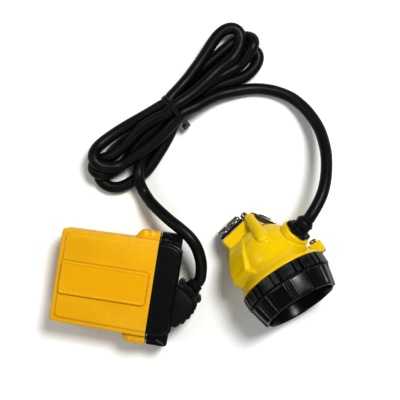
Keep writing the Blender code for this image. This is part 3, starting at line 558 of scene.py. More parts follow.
def build_cable():
    battery_exit = gland_point(GLAND_CABLE_OFFSET, FERRULE_END + GAP, GLAND_PIVOT.z)
    to_world = HEAD @ BOSS
    head_exit = to_world @ Vector((0, 0, BOSS_LENGTH + GAP + FLANGE_HEIGHT + GAP + SLEEVE_LENGTH + GAP))
    head_heading = to_world.to_3x3() @ Vector((0, 0, 1))
    start = [battery_exit, battery_exit + OUTLET_HEADING * 2, *map(Vector, BATTERY_ROUTE)]
    end = [*map(Vector, ARC_ROUTE), head_exit + head_heading * 2, head_exit]
    points = start + hank_route() + end
    spacing = 3.0
    line = evenly(smooth_curve(points), spacing)
    run = np.arange(len(line)) * spacing
    u = np.array((cos(HANK_HEADING), sin(HANK_HEADING), 0))
    ahead = np.abs((line - np.array(HANK_CENTRE)) @ u)
    in_tie = ahead < 4.0
    held = in_tie | (run < 88) | (run > run[-1] - 205)
    line = settle(line, held, (ahead < 58) & ~held)
    line = evenly(smooth_curve([Vector(p) for p in line], 4), 2)
    cable = poly_curve("cable", line, CABLE_DIAMETER)
    cable.data.materials.append(FINISHES["cable"])
    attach(cable, "housing")
    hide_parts("cable_battery_end", "cable_hank", "cable_head_end")


# --- battery ---


def case_outline(inset):
    half_far = CASE_HALF_FAR - inset
    half_mouth = CASE_HALF_MOUTH - inset
    far = CASE_FAR_X + inset
    return rounded_outline([
        (CASE_MOUTH_X, -half_mouth, 0), (CASE_MOUTH_X, half_mouth, 0), (far, half_far, 3.2),
        (far, -half_far, 3.2)])


def quarter(start, inset, run, rise, steps=5):
    """Points (z, inset) round a quarter turn from a wall into a face."""
    turns = [pi / 2 * k / steps for k in range(steps + 1)]
    return [(start + rise * sin(turn), inset + run * (1 - cos(turn))) for turn in turns]


def build_case():
    """The moulded box: soft edges, a raised front field, ribbed lugs by the mouth and a plate recess."""
    back_edge, rim_edge, wall = 1.6, 1.3, 2.5
    back = [(2 * CASE_BACK_Z + back_edge - z, inset)
            for z, inset in reversed(quarter(CASE_BACK_Z, 0, back_edge, back_edge))]
    rim = quarter(CASE_RIM_Z - rim_edge, 0, rim_edge, rim_edge)
    field = [(CASE_RIM_Z + 0.05, 2.8), (CASE_RIM_Z + 0.25, 3.3), (CASE_RIM_Z + 1.4, 4.3)]
    field += quarter(CASE_RIM_Z + 1.5, 4.4, 1, 0.5, 3)
    shell = stacked(case_outline, back + rim + field)
    inner = CASE_HALF_FAR - wall
    hollow = box((CASE_FAR_X + wall, -inner, CASE_BACK_Z + wall), (CASE_MOUTH_X + 5, inner, CASE_RIM_Z - 1))
    holes = [moved(cylinder(1.8, -13, 5, 24), along((CASE_MOUTH_X, side * SCREW_Y, MID_Z), (1, 0, 0)))
             for side in (-1, 1)]
    groove = stacked(plate_outline, [(CASE_FRONT_Z - 0.35, -0.9), (CASE_FRONT_Z + 1, -1.1)])
    mesh = shaped(shell, [build_lug(side) for side in (-1, 1)], [hollow, groove] + holes)
    add_piece("case_shell", mesh, "yellow_case", replaces=["battery_case"], sharp=28)


def build_lug(side):
    """The lug beside the mouth: a rounded block with slanted ribs on its crown."""
    inner = CASE_HALF_FAR - 1
    length = CASE_MOUTH_X - LUG_START_X
    columns, rows = 72, 26
    sections = []
    for i in range(columns + 1):
        along_x = i / columns
        x = LUG_START_X + length * along_x
        rise = min(1, along_x / 0.34)
        crown = (LUG_HALF - inner) * (0.12 + 0.88 * sin(rise * pi / 2) ** 0.8)
        ring = []
        for j in range(rows + 1):
            turn = pi * j / rows
            z = 21.8 - 8.8 * cos(turn) * (0.55 + 0.45 * rise)
            lift = min(1, 1.9 * abs(sin(turn))) ** 0.7
            slant = (x - LUG_START_X + 0.55 * (z - 13)) / 5.6
            rib = max(0, cos(2 * pi * slant)) ** 0.5 if along_x < 0.93 else 1.0
            y = inner + crown * lift - 0.75 * (1 - rib) * lift * rise
            ring.append(Vector((x, side * y, z)))
        ring.append(Vector((x, side * (inner - 1), 13.0 + 17.6)))
        ring.append(Vector((x, side * (inner - 1), 13)))
        sections.append(ring)
    return loft(sections)


def plate_outline(inset):
    low, high, left, right = -14.5 + inset, 11.8 - inset, -44 + inset, 25 - inset
    corner = max(0.6, 2.6 - inset)
    spots = [(right, low), (right, high), (left, high), (left, low)]
    return rounded_outline([(x, y, corner) for x, y in spots])


def build_plate():
    """The blank name plate: a bevelled edge with a slight lip inside it."""
    low = CASE_FRONT_Z + 0.02
    edge = [(0, 0.25), (0.5, 0), (1, 0.1), (1.45, 0.55), (1.6, 1.1), (1.55, 1.5), (1.25, 1.9), (1.2, 2.5)]
    mesh = stacked(plate_outline, [(low + rise, inset) for rise, inset in edge])
    notch = box((-60, -30, low - 4), (-42.4, 30, low - 0.06))
    add_piece("front_plate", shaped(mesh, cuts=[notch]), "plate", replaces=["name_plate"], sharp=40)


def cap_outline():
    near, far = CAP_X
    return rounded_outline([
        (near, -LUG_HALF, 0), (far, -LUG_HALF, 2.5), (far, LUG_HALF, 2.5), (near, LUG_HALF, 0)])


def panel_outline(inset):
    """The raised front of the cap: straight along the case, with a round corner at each end."""
    near, far = CAP_PANEL_HALF[0] - inset, CAP_PANEL_HALF[1] - inset
    outer = CAP_X[1] - inset
    right = [(CAP_X[0], near)]
    steps = 16
    for k in range(steps + 1):
        angle = pi / 2 * k / steps
        x = CAP_X[0] + 4 + (outer - CAP_X[0] - 4) * sin(angle)
        y = far + (near - far) * cos(angle)
        right.append((x, y))
    return right + [(x, -y) for x, y in reversed(right)]


def build_cap():
    """The moulded end cap: raised front panel, shoulders with a curved groove, and screw pockets."""
    body = prism(cap_outline(), *CAP_Z)
    panel_foot = CAP_Z[0] + 8
    top = CASE_FRONT_Z
    panel = stacked(panel_outline, [(panel_foot, 0.2), (top - 0.9, 0.2), (top - 0.3, 0.5), (top, 1.2)])
    band = stacked(panel_outline, [(panel_foot, -1.6), (top - 6.2, -1.6), (top - 5.6, -1)])
    tools = [box((CAP_X[0] - 2, -32.5, 11.5), (CAP_X[0] + 9, 32.5, 32.5))]
    for side in (-1, 1):
        place = along((CASE_MOUTH_X, side * SCREW_Y, MID_Z), (1, 0, 0))
        for radius, low, high in ((1.9, -2, 30), (3.9, 12.5, 25)):
            tools.append(moved(cylinder(radius, low, high, 32), place))
        groove = turned([(9.6, 25.1), (11, 25.1), (11, 27.5), (9.6, 27.5)], 64, hollow=True)
        tools.append(moved(groove, Matrix.Translation((CAP_X[0] + 1.5, side * (CAP_PANEL_HALF[1] + 1), 0))))
        wedge = [(x, side * y) for x, y in ((33.5, 39), (45.5, 36.2), (45.5, 44))]
        tools.append(prism(wedge, 25.3, 28))
    tools.append(moved(cylinder(3, -1, 25, 24), along((35, -12, MID_Z), (1, 0, 0))))
    line_outside = stacked(panel_outline, [(top - 0.28, 2), (top + 1, 2)])
    line_inside = stacked(panel_outline, [(top - 1, 2.5), (top + 2, 2.5)])
    tools.append(shaped(line_outside, cuts=[line_inside]))
    mesh = shaped(body, [panel, band], tools, voxel=0.42, soften=3)
    add_piece("end_cap", mesh, "black_cap", replaces=["battery_cap"], sharp=50)


def boot_section(angle, reach, height, round_by):
    """A rounded section of the boot in the upright plane at this angle through the pivot."""
    corners = [(reach, -height, round_by), (reach, height, round_by), (0.6, height, 1), (0.6, -height, 1)]
    outline = rounded_outline(corners, 6)
    direction = Vector((cos(angle), sin(angle), 0))
    return [GLAND_PIVOT + direction * r + Vector((0, 0, z)) for r, z in outline]


def build_boot():
    """The ribbed rubber boot that fans out from the cap to the cable clamp."""
    first, last = radians(-90), GLAND_HEADING - radians(90)
    ribs, per_rib = 5, 14
    base = boot_section(first, GLAND_RADIUS[0] + 0.6, 9.8, 5)
    sections = [[p - Vector((GLAND_PIVOT.x - CAP_X[1] - GAP, 0, 0)) for p in base]]
    steps = ribs * per_rib
    for i in range(steps + 1):
        part = i / steps
        wave = 0.5 - 0.5 * cos(2 * pi * (i % per_rib) / per_rib)
        raised = wave ** 0.45
        groove = bump(part - 0.88, 0.012, 0.02)
        reach = GLAND_RADIUS[0] * (1 - part) + GLAND_RADIUS[1] * part - 1.6 * (1 - raised) * (part < 0.8)
        height = 9.6 - 1.0 * part - 0.55 * groove
        sections.append(boot_section(first + (last - first) * part, reach, height, 4.5))
    add_piece("ribbed_boot", shaped(loft(sections), voxel=0.4, soften=2), "rubber", replaces=["gland_elbow"],
              sharp=60)


def build_clamp():
    """The two clamp halves, split at mid height: a flange with two screw bosses and the cable's saddle."""
    across, ahead, saddle_end = (-1, 19.2), (GAP + 0.2, 5), 6.2
    spots = [Matrix.Translation(gland_point(a, CLAMP_SCREW_AHEAD, 0)) for a in CLAMP_SCREW_ACROSS]
    for name, low, high, beyond in (("lower", 11, 20.35, (20.35, 90)), ("upper", 20.65, 30, (-60, 20.65))):
        corners = [gland_point(across[a], ahead[b], 0) for a, b in ((0, 0), (1, 0), (1, 1), (0, 1))]
        body = prism([(p.x, p.y) for p in corners], low, high)
        bosses, cuts = [], []
        for spot in spots:
            bosses.append(moved(cylinder(3.05, low, high, 32), spot))
            cuts.append(moved(cylinder(1.5, low - 2, high + 2, 24), spot))
            if name == "upper":
                cuts.append(moved(cylinder(2.65, 28.2, 35, 32), spot))
        saddle = moved(cylinder(7.6, ahead[0], saddle_end), OUTLET)
        trim = box((20, -60, beyond[0]), (120, 60, beyond[1]))
        core = moved(cylinder(4.95, -3, 12), OUTLET)
        mesh = shaped(body, bosses + [shaped(saddle, cuts=[trim])], cuts + [core], voxel=0.34, soften=2)
        add_piece("clamp_" + name, mesh, "black_cap", replaces=["gland_clamp_" + name], sharp=50)


def build_clamp_screws():
    """Socket screws, sunk in the clamp's bosses."""
    profile = [(1.2, -12), (1.2, 0), (2.4, 0), (2.45, 0.2), (2.45, 1.5), (2.2, 1.75), (1.35, 1.75),
               (1.25, 1.6), (1.2, 0.5)]
    for index, across in enumerate(CLAMP_SCREW_ACROSS, 1):
        place = Matrix.Translation(gland_point(across, CLAMP_SCREW_AHEAD, 28.3))
        screw = add_piece(f"clamp_socket_{index}", turned(profile, 48), "steel",
                          replaces=[f"clamp_screw_{index}"], matrix=place, sharp=40)
        screw.data.materials[0] = FINISHES["black_oxide"]


def build_battery_ferrule():
    """The sleeve round the cable: a collar, two flared ears and shallow ribs."""
    profile = [(4.7, 0.8), (4.7, 6.55), (6.5, 6.55), (6.6, 7), (6.5, 8), (5.9, 8.2), (5.9, 8.6),
               (6.2, 8.8), (6.2, 9.4), (5.8, 9.6), (5.8, 10), (6.05, 10.2), (6.05, 10.8), (5.6, 11.1),
               (5.4, FERRULE_END)]
    ear = ((4.8, 6.8), (8.4, 7.4), (8.9, 8.8), (4.8, 10.6))
    ears = [slab([(side * x, z) for x, z in ear], -3, 3) for side in (-1, 1)]
    mesh = shaped(turned(profile, 64), ears, voxel=0.3, soften=2)
    add_piece("battery_sleeve", mesh, "rubber", replaces=["gland_ferrule"], matrix=OUTLET, sharp=60)


# --- lamp head ---

# The rear face of the neck: Z points out of it, backwards
NECK_TILT = radians(12)
NECK = along((-10.5, -3, -52.8), (-sin(NECK_TILT), 0, -cos(NECK_TILT)),
             roll=(cos(NECK_TILT), 0, -sin(NECK_TILT)))
NECK_SIZE = (32, 23)
SWITCH_SIDE = radians(205)
LUG_ANGLE = radians(2)
LUG = Matrix.Translation((35.2 * cos(LUG_ANGLE), 35.2 * sin(LUG_ANGLE), 0)) @ Matrix.Rotation(
    LUG_ANGLE, 4, "Z")
PRESS = Vector((cos(SWITCH_SIDE), sin(SWITCH_SIDE), 0))
BUTTON = along(PRESS * 30.5 + Vector((0, 0, -21)), PRESS, roll=(0, 0, 1))
RIB = along((3, 8.4, -54.4), (-0.02, 0.492, 0.870), roll=(1, 0, 0))
NECK_SCREWS = [(12.2, 7, 0), (12.2, -7, 0)]


def fairing():
    """The switch housing: a faceted blister with a flat end behind the ring."""
    stations = [(-40.2, 25.2, 11, 16.2), (-34.5, 28.9, 13.8, 20), (-28.8, 32, 16.7, 22.6),
                (-21.5, 35.1, 19.4, 23.6), (-15.4, 36.7, 22.2, 23.9), (-6.7, 31.9, 15, 28)]
    sections = []
    for z, reach, ridge_x, ridge_y in stations:
        outer = [(-0.955, 0.34), (-1, 0), (-0.895, -0.417), (-0.70, -0.68)]
        points = [(4, ridge_y - 6), (-ridge_x, ridge_y)] + [(reach * x, reach * y) for x, y in outer]
        points += [(-4, -ridge_y * 0.9)]
        sections.append([Vector((x, y, z)) for x, y in points])
    return loft(sections)


def build_head_shell():
    """The moulded housing: dome, neck, cable boss, screw boss, switch fairing and lock lug."""
    seat = -0.1
    rim = [(30.6, 8), (30.6, seat), (31, seat), (35.8, seat), (35.9, -0.6)]
    swell = smooth_profile([
        (35.9, -0.6), (35.2, -2.6), (32.2, -6.5), (29.6, -11.5), (28.4, -18), (27, -25), (24.2, -32),
        (19.5, -38.5), (13, -43.5), (6, -46.5)])
    wide, tall = NECK_SIZE[0] / 2, NECK_SIZE[1] / 2
    neck_corners = ((wide, -tall), (wide, tall), (-wide, tall), (-wide, -tall))
    neck = prism(rounded_outline([(x, y, 3) for x, y in neck_corners]), -26, 0)
    tab_corners = ((0.8, 9.8), (0.8, 11.4), (-2.6, 11.4), (-2.6, 9.8))
    tab = prism(rounded_outline([(x, y, 0.4) for x, y in tab_corners]), -2, 2.2)
    screw_boss = turned([
        (4.2, 0), (4.45, 0.4), (4.45, 2.4), (4.1, 2.9), (4.6, 8), (5.3, 16), (5.9, 24), (6, 28),
        (5.4, 31), (4, 33.4), (1.3, 34.6)], 48)
    cable_boss = turned([
        (19, 4), (17.2, 8), (15.4, 12), (14, 16), (12.9, 20), (12.2, 23.4), (11.6, 25.2), (11.5, 26),
        (12.1, 26.5), (12.1, 31.2), (11.6, 32)], 96)
    lug = prism(rounded_outline([(5.3, -4.8, 1), (5.3, 4.8, 1), (-6, 4.8, 0), (-6, -4.8, 0)]), -9.2, -0.4)
    parts = [moved(neck, NECK), moved(screw_boss, RIB), moved(cable_boss, BOSS), fairing(), moved(lug, LUG),
             moved(tab, NECK)]
    cavity = turned([
        (27.5, 12), (27.5, -3), (25.8, -12), (24.8, -20), (22, -29), (16, -36), (8, -40)], 64)
    neck_cavity = moved(box((-12, -8, 4), (12, 7, 26)), NECK @ Matrix.Rotation(pi, 4, "X"))
    ring_room = turned([(31.1, seat), (50, seat), (50, 12), (31.1, 12)], 96, hollow=True)
    screw_holes = [moved(cylinder(1.55, -3.4, 2), NECK @ Matrix.Translation(spot)) for spot in NECK_SCREWS]
    cuts = [
        cavity, neck_cavity,
        moved(cylinder(6, 10, 40), BOSS),
        moved(box((-6.5, -6.5, -12), (6.5, 6.5, -1)), BUTTON),
        moved(cylinder(4.6, -5, 12), BUTTON),
        moved(cylinder(1.95, -12, 4), LUG),
        moved(cylinder(3.45, -12, -7.3), LUG),
    ]
    mesh = shaped(turned(rim + swell[1:], 128), parts, cuts + screw_holes + [ring_room], voxel=0.42, soften=4)
    add_piece("lamp_housing", mesh, "yellow_head", replaces=["head_shell"], matrix=HEAD, sharp=60)


def rolled_leaf(start, end):
    """A spring leaf along the neck: a flat foot on the insulator that rises into a rolled barrel."""
    sheet, centre_y, centre_z, reach = 0.7, 1.6, 8.4, 3.1

    def barrel(radius):
        turns = [radians(200 - 11.5 * k) for k in range(29)]
        return [(centre_y + radius * cos(a), centre_z + radius * sin(a)) for a in turns]

    foot = [(-6.5, 3.95 + sheet), (-3.2, 3.95 + sheet), (-2.2, 5.2)]
    back = [(-1.5, 4.6), (-2.6, 3.95), (-6.5, 3.95)]
    profile = foot + barrel(reach) + barrel(reach - sheet)[::-1] + back
    return loft([[Vector((x, y, z)) for y, z in profile] for x in (start, end)])


def build_neck_hardware():
    """Steel on the rear of the neck: rolled spring leaves, folded tabs and the two-layer hook blade."""
    place = HEAD @ NECK
    base = 2.0 + GAP
    pad = box((-14.2, -9.2, base), (8.9, 8.3, base + 1.35))
    add_piece("insulator_pad", shaped(pad, edge=0.35), "black_inner", replaces=["contact_insulator"],
              matrix=place)
    for index, (start, end) in enumerate(((-12.8, -4.4), (-2.9, 8.2)), 1):
        middle = (start + end) / 2
        tabs = [box((x[0], y[0], z[0]), (x[1], y[1], z[1])) for x, y, z in (
            ((start, start + 0.7), (-8.4, 7.4), (3.95, 7.4)), ((end - 0.7, end), (-8.4, 7.4), (3.95, 7)),
            ((start, end), (6, 9.4), (3.95, 4.7)), ((middle - 2.6, middle + 2.6), (7.9, 8.6), (3.95, 7.6)),
            ((start + 0.2, start + 2.6), (8.7, 9.4), (2.3, 6.4)),
            ((end - 2.6, end - 0.2), (8.7, 9.4), (2.3, 6.9)),
            ((middle - 1.9, middle + 1.9), (-8.6, -7.9), (3.95, 6.8)))]
        leaf = shaped(rolled_leaf(start + 0.4, end - 0.4), tabs, edge=0.12, segments=2)
        add_piece(f"rolled_clip_{index}", leaf, "steel", replaces=[f"contact_clip_{index}"], matrix=place)
    head = [(1.2, -6.2), (1.2, 0), (2.7, 0), (2.8, 0.3), (2.8, 3.2), (2.6, 3.7), (2.2, 3.95), (1.5, 3.95),
            (1.4, 3.8), (1.35, 1.6)]
    for index, (x, y, _) in enumerate(NECK_SCREWS, 1):
        add_piece(f"neck_screw_{index}", turned(head, 48), "steel", replaces=[f"bracket_screw_{index}"],
                  matrix=place @ Matrix.Translation((x, y, 2)))
    half = NECK_SIZE[0] / 2
    foot = [(-half + 1, GAP), (half + 0.9, GAP), (half + 2.2, -0.9), (half + 9.2, -18.6),
            (half + 10.2, -18.2), (half + 3.2, -0.2), (half + 1.5, 1.5), (-half + 1, 1.5)]
    second = [(half + 5, -4.2), (half + 6, -3.8), (half + 10.6, -15.2), (half + 9.9, -15.6)]
    plate, blade = slab(foot, -9, 9.5), slab(second, -7, 7.5)
    bridge = [moved(cylinder(1.7, -1.2, 1.6, 24), along((half + 5.9, y, -7), (0.93, 0, 0.37)))
              for y in (-4.5, 4.5)]
    cuts = [moved(cylinder(1.55, -1, 4, 24), Matrix.Translation(spot)) for spot in NECK_SCREWS]
    mesh = shaped(plate, [blade] + bridge, cuts, edge=0.2, segments=2)
    add_piece("hook_blade", mesh, "steel", replaces=["hook_bracket"], matrix=place)


def bump(distance, half_width, edge):
    """1 inside a band, falling smoothly to 0 over its edge."""
    t = (half_width + edge - abs(distance)) / edge
    t = max(0, min(1, t))
    return t * t * (3 - 2 * t)


def grip_relief(degrees):
    """The bezel's grip: a band every 30 degrees, in turn a pair of ridges or a ribbed strip between two."""
    band = round(degrees / 30)
    offset = degrees - 30 * band
    if band % 2:
        relief = 0.75 * max(bump(offset - 5.4, 0.55, 0.35), bump(offset + 5.4, 0.55, 0.35))
        inside = bump(offset, 4.2, 0.3)
        return relief + inside * (0.30 + 0.20 * cos(2 * pi * offset / 2.1))
    relief = 0.75 * max(bump(offset - 3.4, 0.6, 0.35), bump(offset + 3.4, 0.6, 0.35))
    return relief - 0.35 * bump(offset, 1.9, 0.6)


def facet_relief(degrees):
    """How far a twelve-sided outline lies inside the round one."""
    offset = degrees % 30
    return cos(radians(15)) / cos(radians(offset - 15)) - 1.0


def build_bezel():
    """The fluted grip of the bezel, its rolled front rim and the deep dark wall in front of the lens.

    Its rows are (radius, z, grip amount, facet amount).
    """
    steps = 7
    outer = [(34.5 - 3.0 * k / steps, 11.0 + 14.0 * k / steps, 1, 0.1 + 0.6 * (k / steps) ** 2)
             for k in range(steps + 1)]
    rows = [(33.2, 9.95, 0, 0), (33.8, 9.95, 0, 0.1), (34.35, 10.3, 0.4, 0.2)] + outer
    rows += [(31.3, 25.8, 0.9, 0.85), (30.9, 26.35, 0.6, 1), (30.3, 26.6, 0.25, 1), (29.7, 26.5, 0, 0.5),
             (29.2, 26.1, 0, 0.2)]
    rows += [(r, z, 0, 0) for r, z in (
        (28.8, 25.3), (28.4, 23), (28, 21), (27.6, 19), (27.2, 17.6), (27.2, 16.4), (29.2, 16.4),
        (29.2, 9), (31.1, 8.6), (31.1, 0.5), (33.2, 0.5))]

    def radius_at(row, degrees):
        radius, _, grip, facet = row
        return radius + grip * grip_relief(degrees) + facet * radius * facet_relief(degrees)

    mesh = wavy(rows, FINE_STEPS, radius_at, closed=True, turn=radians(2))
    add_piece("grip_bezel", mesh, "black_bezel", body="bezel", replaces=["bezel"], matrix=HEAD,
              sharp=34)


def notch_depth(degrees):
    """0 on a block and 1 in a notch: every 30 degrees a wide block and a narrow bar."""
    offset = degrees % 30
    return max(bump(offset - 0, 1.7, 0.5), bump(offset - 30, 1.7, 0.5), bump(offset - 9.5, 1.2, 0.5))


def build_ring():
    """The castellated locking ring; its screw passes through the notch by the lug."""
    depth = 2.3
    rows = [(33.5, 0.3, 0), (36, 0.3, 0.3), (36.5, 0.8, 1), (36.5, 4.8, 1), (36.5, 8.8, 1),
            (36, 9.6, 0.6), (35.2, 9.7, 0.2), (33.5, 9.7, 0)]

    def radius_at(row, degrees):
        return row[0] - depth * row[2] * notch_depth(degrees)

    ring = wavy(rows, FINE_STEPS, radius_at, closed=True, turn=radians(5))
    mesh = shaped(ring, cuts=[moved(cylinder(2.1, -2, 7.5), LUG)])
    add_piece("castellated_ring", mesh, "black_bezel", body="bezel", replaces=["locking_ring"], matrix=HEAD,
              sharp=30)


def build_head_gland():
    """The lobed flange and the stepped sleeve that grip the cable at the boss."""
    start = BOSS_LENGTH + GAP
    rows = [(change, start + height, lobed) for height, change, lobed in (
        (0, -1.2, 1), (0.5, 0, 1), (1.3, 0, 1), (1.6, -0.9, 1), (2, -0.9, 1), (2.3, 0, 1),
        (2.9, 0, 1), (3.2, -0.7, 0.8), (3.3, -2.7, 0.1), (FLANGE_HEIGHT, -3, 0))]

    def radius_at(row, degrees):
        return 9.85 + row[0] + row[2] * max(-0.6, cos(radians(6 * degrees)))

    place = HEAD @ BOSS
    bore = cylinder(5, start - 3, start + 9)
    flange = shaped(wavy(rows, 144, radius_at), cuts=[bore], voxel=0.32, soften=2)
    add_piece("gland_flange", flange, "rubber", replaces=["head_gland_flange"], matrix=place, sharp=60)
    ferrule = start + FLANGE_HEIGHT + GAP
    profile = [(4.7, start + 0.5)] + [(r, ferrule + z) for r, z in (
        (4.7, 0.1), (6.5, 0.1), (6.7, 0.4), (6.7, 1.6), (6.2, 1.9), (6.1, 2.6), (6.9, 3), (7.1, 3.4),
        (7.1, 4.6), (6.4, 5.2), (5.7, 6.6), (5.4, SLEEVE_LENGTH))]
    ears = [moved(box((5.2, -2.6, ferrule + 3), (8.7, 2.6, ferrule + 4.8)), Matrix.Rotation(a, 4, "Z"))
            for a in (0.5, 0.5 + pi)]
    sleeve = shaped(turned(profile, 64), ears, voxel=0.3, soften=2)
    add_piece("head_sleeve", sleeve, "rubber", replaces=["head_gland_ferrule"], matrix=place, sharp=60)


# --- optics and switch ---


def build_optics():
    """Reflector cup with a stepped rim, three LEDs and the clear lens."""
    steps = 24
    cup = [(4.5 + 19.5 * sqrt(k / steps), -1.6 + 11.2 * k / steps) for k in range(steps + 1)]
    inner = [(r - 0.9, z + 0.2) for r, z in reversed(cup)]
    top = cup[-1][1]
    rim = [(26.4, top), (26.6, top + 0.2), (26.6, top + 0.8), (26.4, top + 1),
           (inner[0][0] + 0.3, top + 1)]
    sides = [Matrix.Translation((x, 0, 0)) for x in (-15.5, 15.5)]
    holes = [moved(cylinder(2.95, -8, 14, 48), side) for side in sides]
    mirror = shaped(turned(cup + rim + inner[1:], 144, hollow=True), cuts=holes)
    add_piece("mirror_cup", mirror, "mirror", replaces=["reflector"], matrix=HEAD, sharp=25)
    lens = [(28.3, 11.2), (28.6, 11.5), (28.6, 13.1), (28.3, 13.4), (26.5, 13.8), (20, 14), (10, 14.1),
            (1, 14.15)]
    add_piece("clear_lens", turned(lens, 144), "lens_clear", body="lens_stack", replaces=["lens"],
              matrix=HEAD)
    chip = [(3.4, -2.5), (3.4, -1.5), (3.2, -1.25), (2.2, -1.2), (2.15, -1), (2.05, -0.45), (1.75, 0.1),
            (1.2, 0.5), (0.4, 0.68)]
    add_piece("led_main", turned(chip, 64), "led", replaces=["main_led"], matrix=HEAD)
    bulb = [(2.9, -2.5), (2.9, -1.6), (2.5, -1.5), (2.5, 4.2), (2.4, 5), (2, 5.9), (1.3, 6.5),
            (0.4, 6.78)]
    for index, side in enumerate(sides, 1):
        add_piece(f"led_side_{index}", turned(bulb, 64), "led", replaces=[f"aux_led_{index}"],
                  matrix=HEAD @ side)


def build_switch():
    """The sealed push button in the fairing and the flat wave spring under it."""
    place = HEAD @ BUTTON
    button = [(2, -3.3), (2.2, -3.4), (5.4, -3.4), (5.6, -3.2), (5.6, -1.9), (5.3, -1.65), (4.2, -1.6),
              (4.2, 4.6), (4.05, 5.3), (3.6, 5.85), (3.1, 6), (2.7, 5.9), (1.4, 5.62), (0.3, 5.6)]
    add_piece("push_button", turned(button, 96), "rubber", body="switch_button", replaces=["switch_button"],
              matrix=place, sharp=45)
    section = [(2.5, -0.2), (4.3, -0.2), (4.4, -0.1), (4.4, 0.1), (4.3, 0.2), (2.5, 0.2), (2.4, 0.1),
               (2.4, -0.1)]
    spring = loft([[on_circle(r, angle, h - 5.42 + 0.3 * sin(3 * angle)) for r, h in section]
                   for angle in angles(144)], closed=True)
    add_piece("wave_spring", spring, "steel", replaces=["switch_spring"], matrix=place)


def build_lock_screw():
    """The screw that stops the ring: a threaded shank and a knurled head with a hexagonal socket."""
    thread = [(1.6 if k % 2 else 1.42, -9.2 + 0.4 * k, 0) for k in range(20)]
    head = [(1.6, -1.2, 0), (1.6, 0, 0), (2.6, 0, 0), (2.92, 0.2, 1), (3, 0.45, 1), (3, 1.8, 1),
            (2.8, 2.08, 0.6), (2.4, 2.2, 0)]

    def radius_at(row, degrees):
        return row[0] - 0.08 * row[2] * (1 - cos(radians(32 * degrees)))

    screw = wavy([(0.9, -9.8, 0)] + thread + head, 192, radius_at)
    place = HEAD @ LUG @ Matrix.Translation((0, 0, -10.4)) @ Matrix.Rotation(pi, 4, "X")
    add_piece("stop_screw", shaped(screw, cuts=[cylinder(1.25, 0.8, 3, 6)]), "steel", body="lock_screw",
              replaces=["lock_screw"], matrix=place, sharp=40)


def build_belt_loop():
    """The steel strap under the case, bent with round folds; the belt passes through it along Y."""
    sheet, foot = 1.5, CASE_BACK_Z - GAP
    left, right = -31.5, 20.5
    low, high = left - 10, right + 8.3
    end, inside, outside = 0.3, 0.5, 1.9
    profile = rounded_outline([
        (low, foot - sheet, end), (left - sheet, foot - sheet, inside), (left - sheet, 0, outside),
        (right + sheet, 0, outside), (right + sheet, foot - sheet, inside), (high, foot - sheet, end),
        (high, foot, end), (right, foot, outside), (right, sheet, inside), (left, sheet, inside),
        (left, foot, outside), (low, foot, end)], 6)
    spots = [(x, y, 0) for x in (-37.3, 25.9) for y in (-22, 22)]
    holes = [moved(cylinder(1.5, 3, 9, 32), Matrix.Translation(spot)) for spot in spots]
    strap = shaped(slab(profile, -30, 30), cuts=holes)
    add_piece("belt_strap", strap, "steel", replaces=["belt_loop"], sharp=30)


# --- the tie ---


def tie_outline(grow):
    """Six rounded corners round the seven strands."""
    reach = CABLE_DIAMETER / 2 + grow
    corners = [(7.3, 19.7), (0, 24.2), (-7.3, 19.7), (-7.3, 10.7), (0, 6.2), (7.3, 10.7)]
    points = []
    for k, (across, z) in enumerate(corners):
        for j in range(7):
            angle = radians(60 * k + 10 * j)
            points.append((across + reach * cos(angle), z + reach * sin(angle)))
    return points


def build_tie():
    """A cable tie: ribbed band with rounded edges, square locking head and a cut tail."""
    turn = HANK_HEADING - radians(5)
    heading = Vector((cos(turn), sin(turn), 0))
    place = along(HANK_CENTRE, heading, roll=(heading.y, -heading.x, 0))
    section = [(-1.6, 0.1), (-1.9, 0.45), (-1.9, 0.95), (-1.6, 1.3), (-1.2, 1.3), (-1, 1.1), (1, 1.1),
               (1.2, 1.3), (1.6, 1.3), (1.9, 0.95), (1.9, 0.45), (1.6, 0.1)]
    band = loft([[Vector((x, -z, width)) for x, z in tie_outline(out)] for width, out in section],
                closed=True)
    add_piece("tie_band", band, "tie", replaces=["cable_tie"], matrix=place, sharp=40)
    head = box((13.5, -10.6, -3), (18.3, -4.6, 3))
    slot_cut = box((14.6, -12, -2.4), (16.4, -3, 2.4))
    tail = box((14.75, -13.4, -2.1), (15.9, -3.6, 2.1))
    mesh = shaped(shaped(head, cuts=[slot_cut], edge=0.5), [tail], edge=0.2)
    add_piece("tie_lock", mesh, "tie", replaces=["cable_tie_head"], matrix=place, sharp=40)


# --- studio ---


# The photo looks straight down from above, a little turned
CAMERA_PLACE = (0.0557, 0.0751, 0.700)
CAMERA_ROLL = radians(8.86)
CAMERA_LENS = 75.9
LAMP_AIM = Vector((0.06, 0.07, 0))
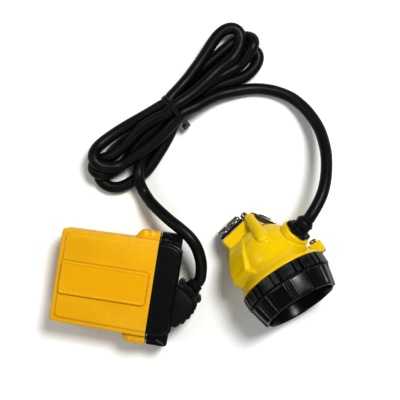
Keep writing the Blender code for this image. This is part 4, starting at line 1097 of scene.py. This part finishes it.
# Name, place, size and power
LAMPS = [("key", (0.36, 0.60, 1.15), 0.42, 17), ("left", (-0.95, 0.1, 0.95), 0.9, 5.5),
         ("front", (0.5, -0.95, 0.95), 0.9, 4.5)]


def build_studio():
    scene = bpy.context.scene
    camera = link(bpy.data.objects.new("camera", bpy.data.cameras.new("camera")))
    camera.data.lens = CAMERA_LENS
    camera.data.sensor_width = 36
    camera.location = CAMERA_PLACE
    camera.rotation_euler = (0, 0, CAMERA_ROLL)
    scene.camera = camera

    bm = bmesh.new()
    bmesh.ops.create_grid(bm, x_segments=1, y_segments=1, size=2.5)
    mesh = bpy.data.meshes.new("floor")
    bm.to_mesh(mesh)
    floor = link(bpy.data.objects.new("floor", mesh))
    material = bpy.data.materials.new("floor")
    material.use_nodes = True
    shader = material.node_tree.nodes["Principled BSDF"]
    shader.inputs["Base Color"].default_value = (0.86, 0.86, 0.85, 1)
    shader.inputs["Roughness"].default_value = 0.7
    mesh.materials.append(material)

    scene.view_settings.view_transform = "Standard"
    scene.view_settings.gamma = 0.75
    world = bpy.data.worlds.new("studio")
    world.use_nodes = True
    background = world.node_tree.nodes["Background"]
    background.inputs["Color"].default_value = (1, 1, 1, 1)
    background.inputs["Strength"].default_value = 0.24
    scene.world = world
    for name, place, size, power in LAMPS:
        light = bpy.data.lights.new(name, "AREA")
        light.shape = "DISK"
        light.size = size
        light.energy = power
        lamp = link(bpy.data.objects.new(name, light))
        lamp.location = place
        lamp.rotation_euler = (LAMP_AIM - Vector(place)).to_track_quat("-Z", "Y").to_euler()


def finish_frame():
    """Gives each CAD node that stays its slot's finish."""
    for part in frame["record"]["subparts"]:
        node = frame["nodes"][part["node"]]
        node.data.materials.clear()
        node.data.materials.append(FINISHES[part["material_slot"]])


FINISHES = {name: make_finish(name, colour, rough, **extra) for name, (colour, rough, extra)
            in FINISH_TABLE.items()}
for build in (build_studio, finish_frame, build_cable, build_tie, build_belt_loop, build_case, build_plate,
              build_cap, build_boot, build_clamp, build_clamp_screws, build_battery_ferrule,
              build_head_shell, build_neck_hardware, build_bezel, build_ring, build_head_gland,
              build_optics, build_switch, build_lock_screw):
    build()
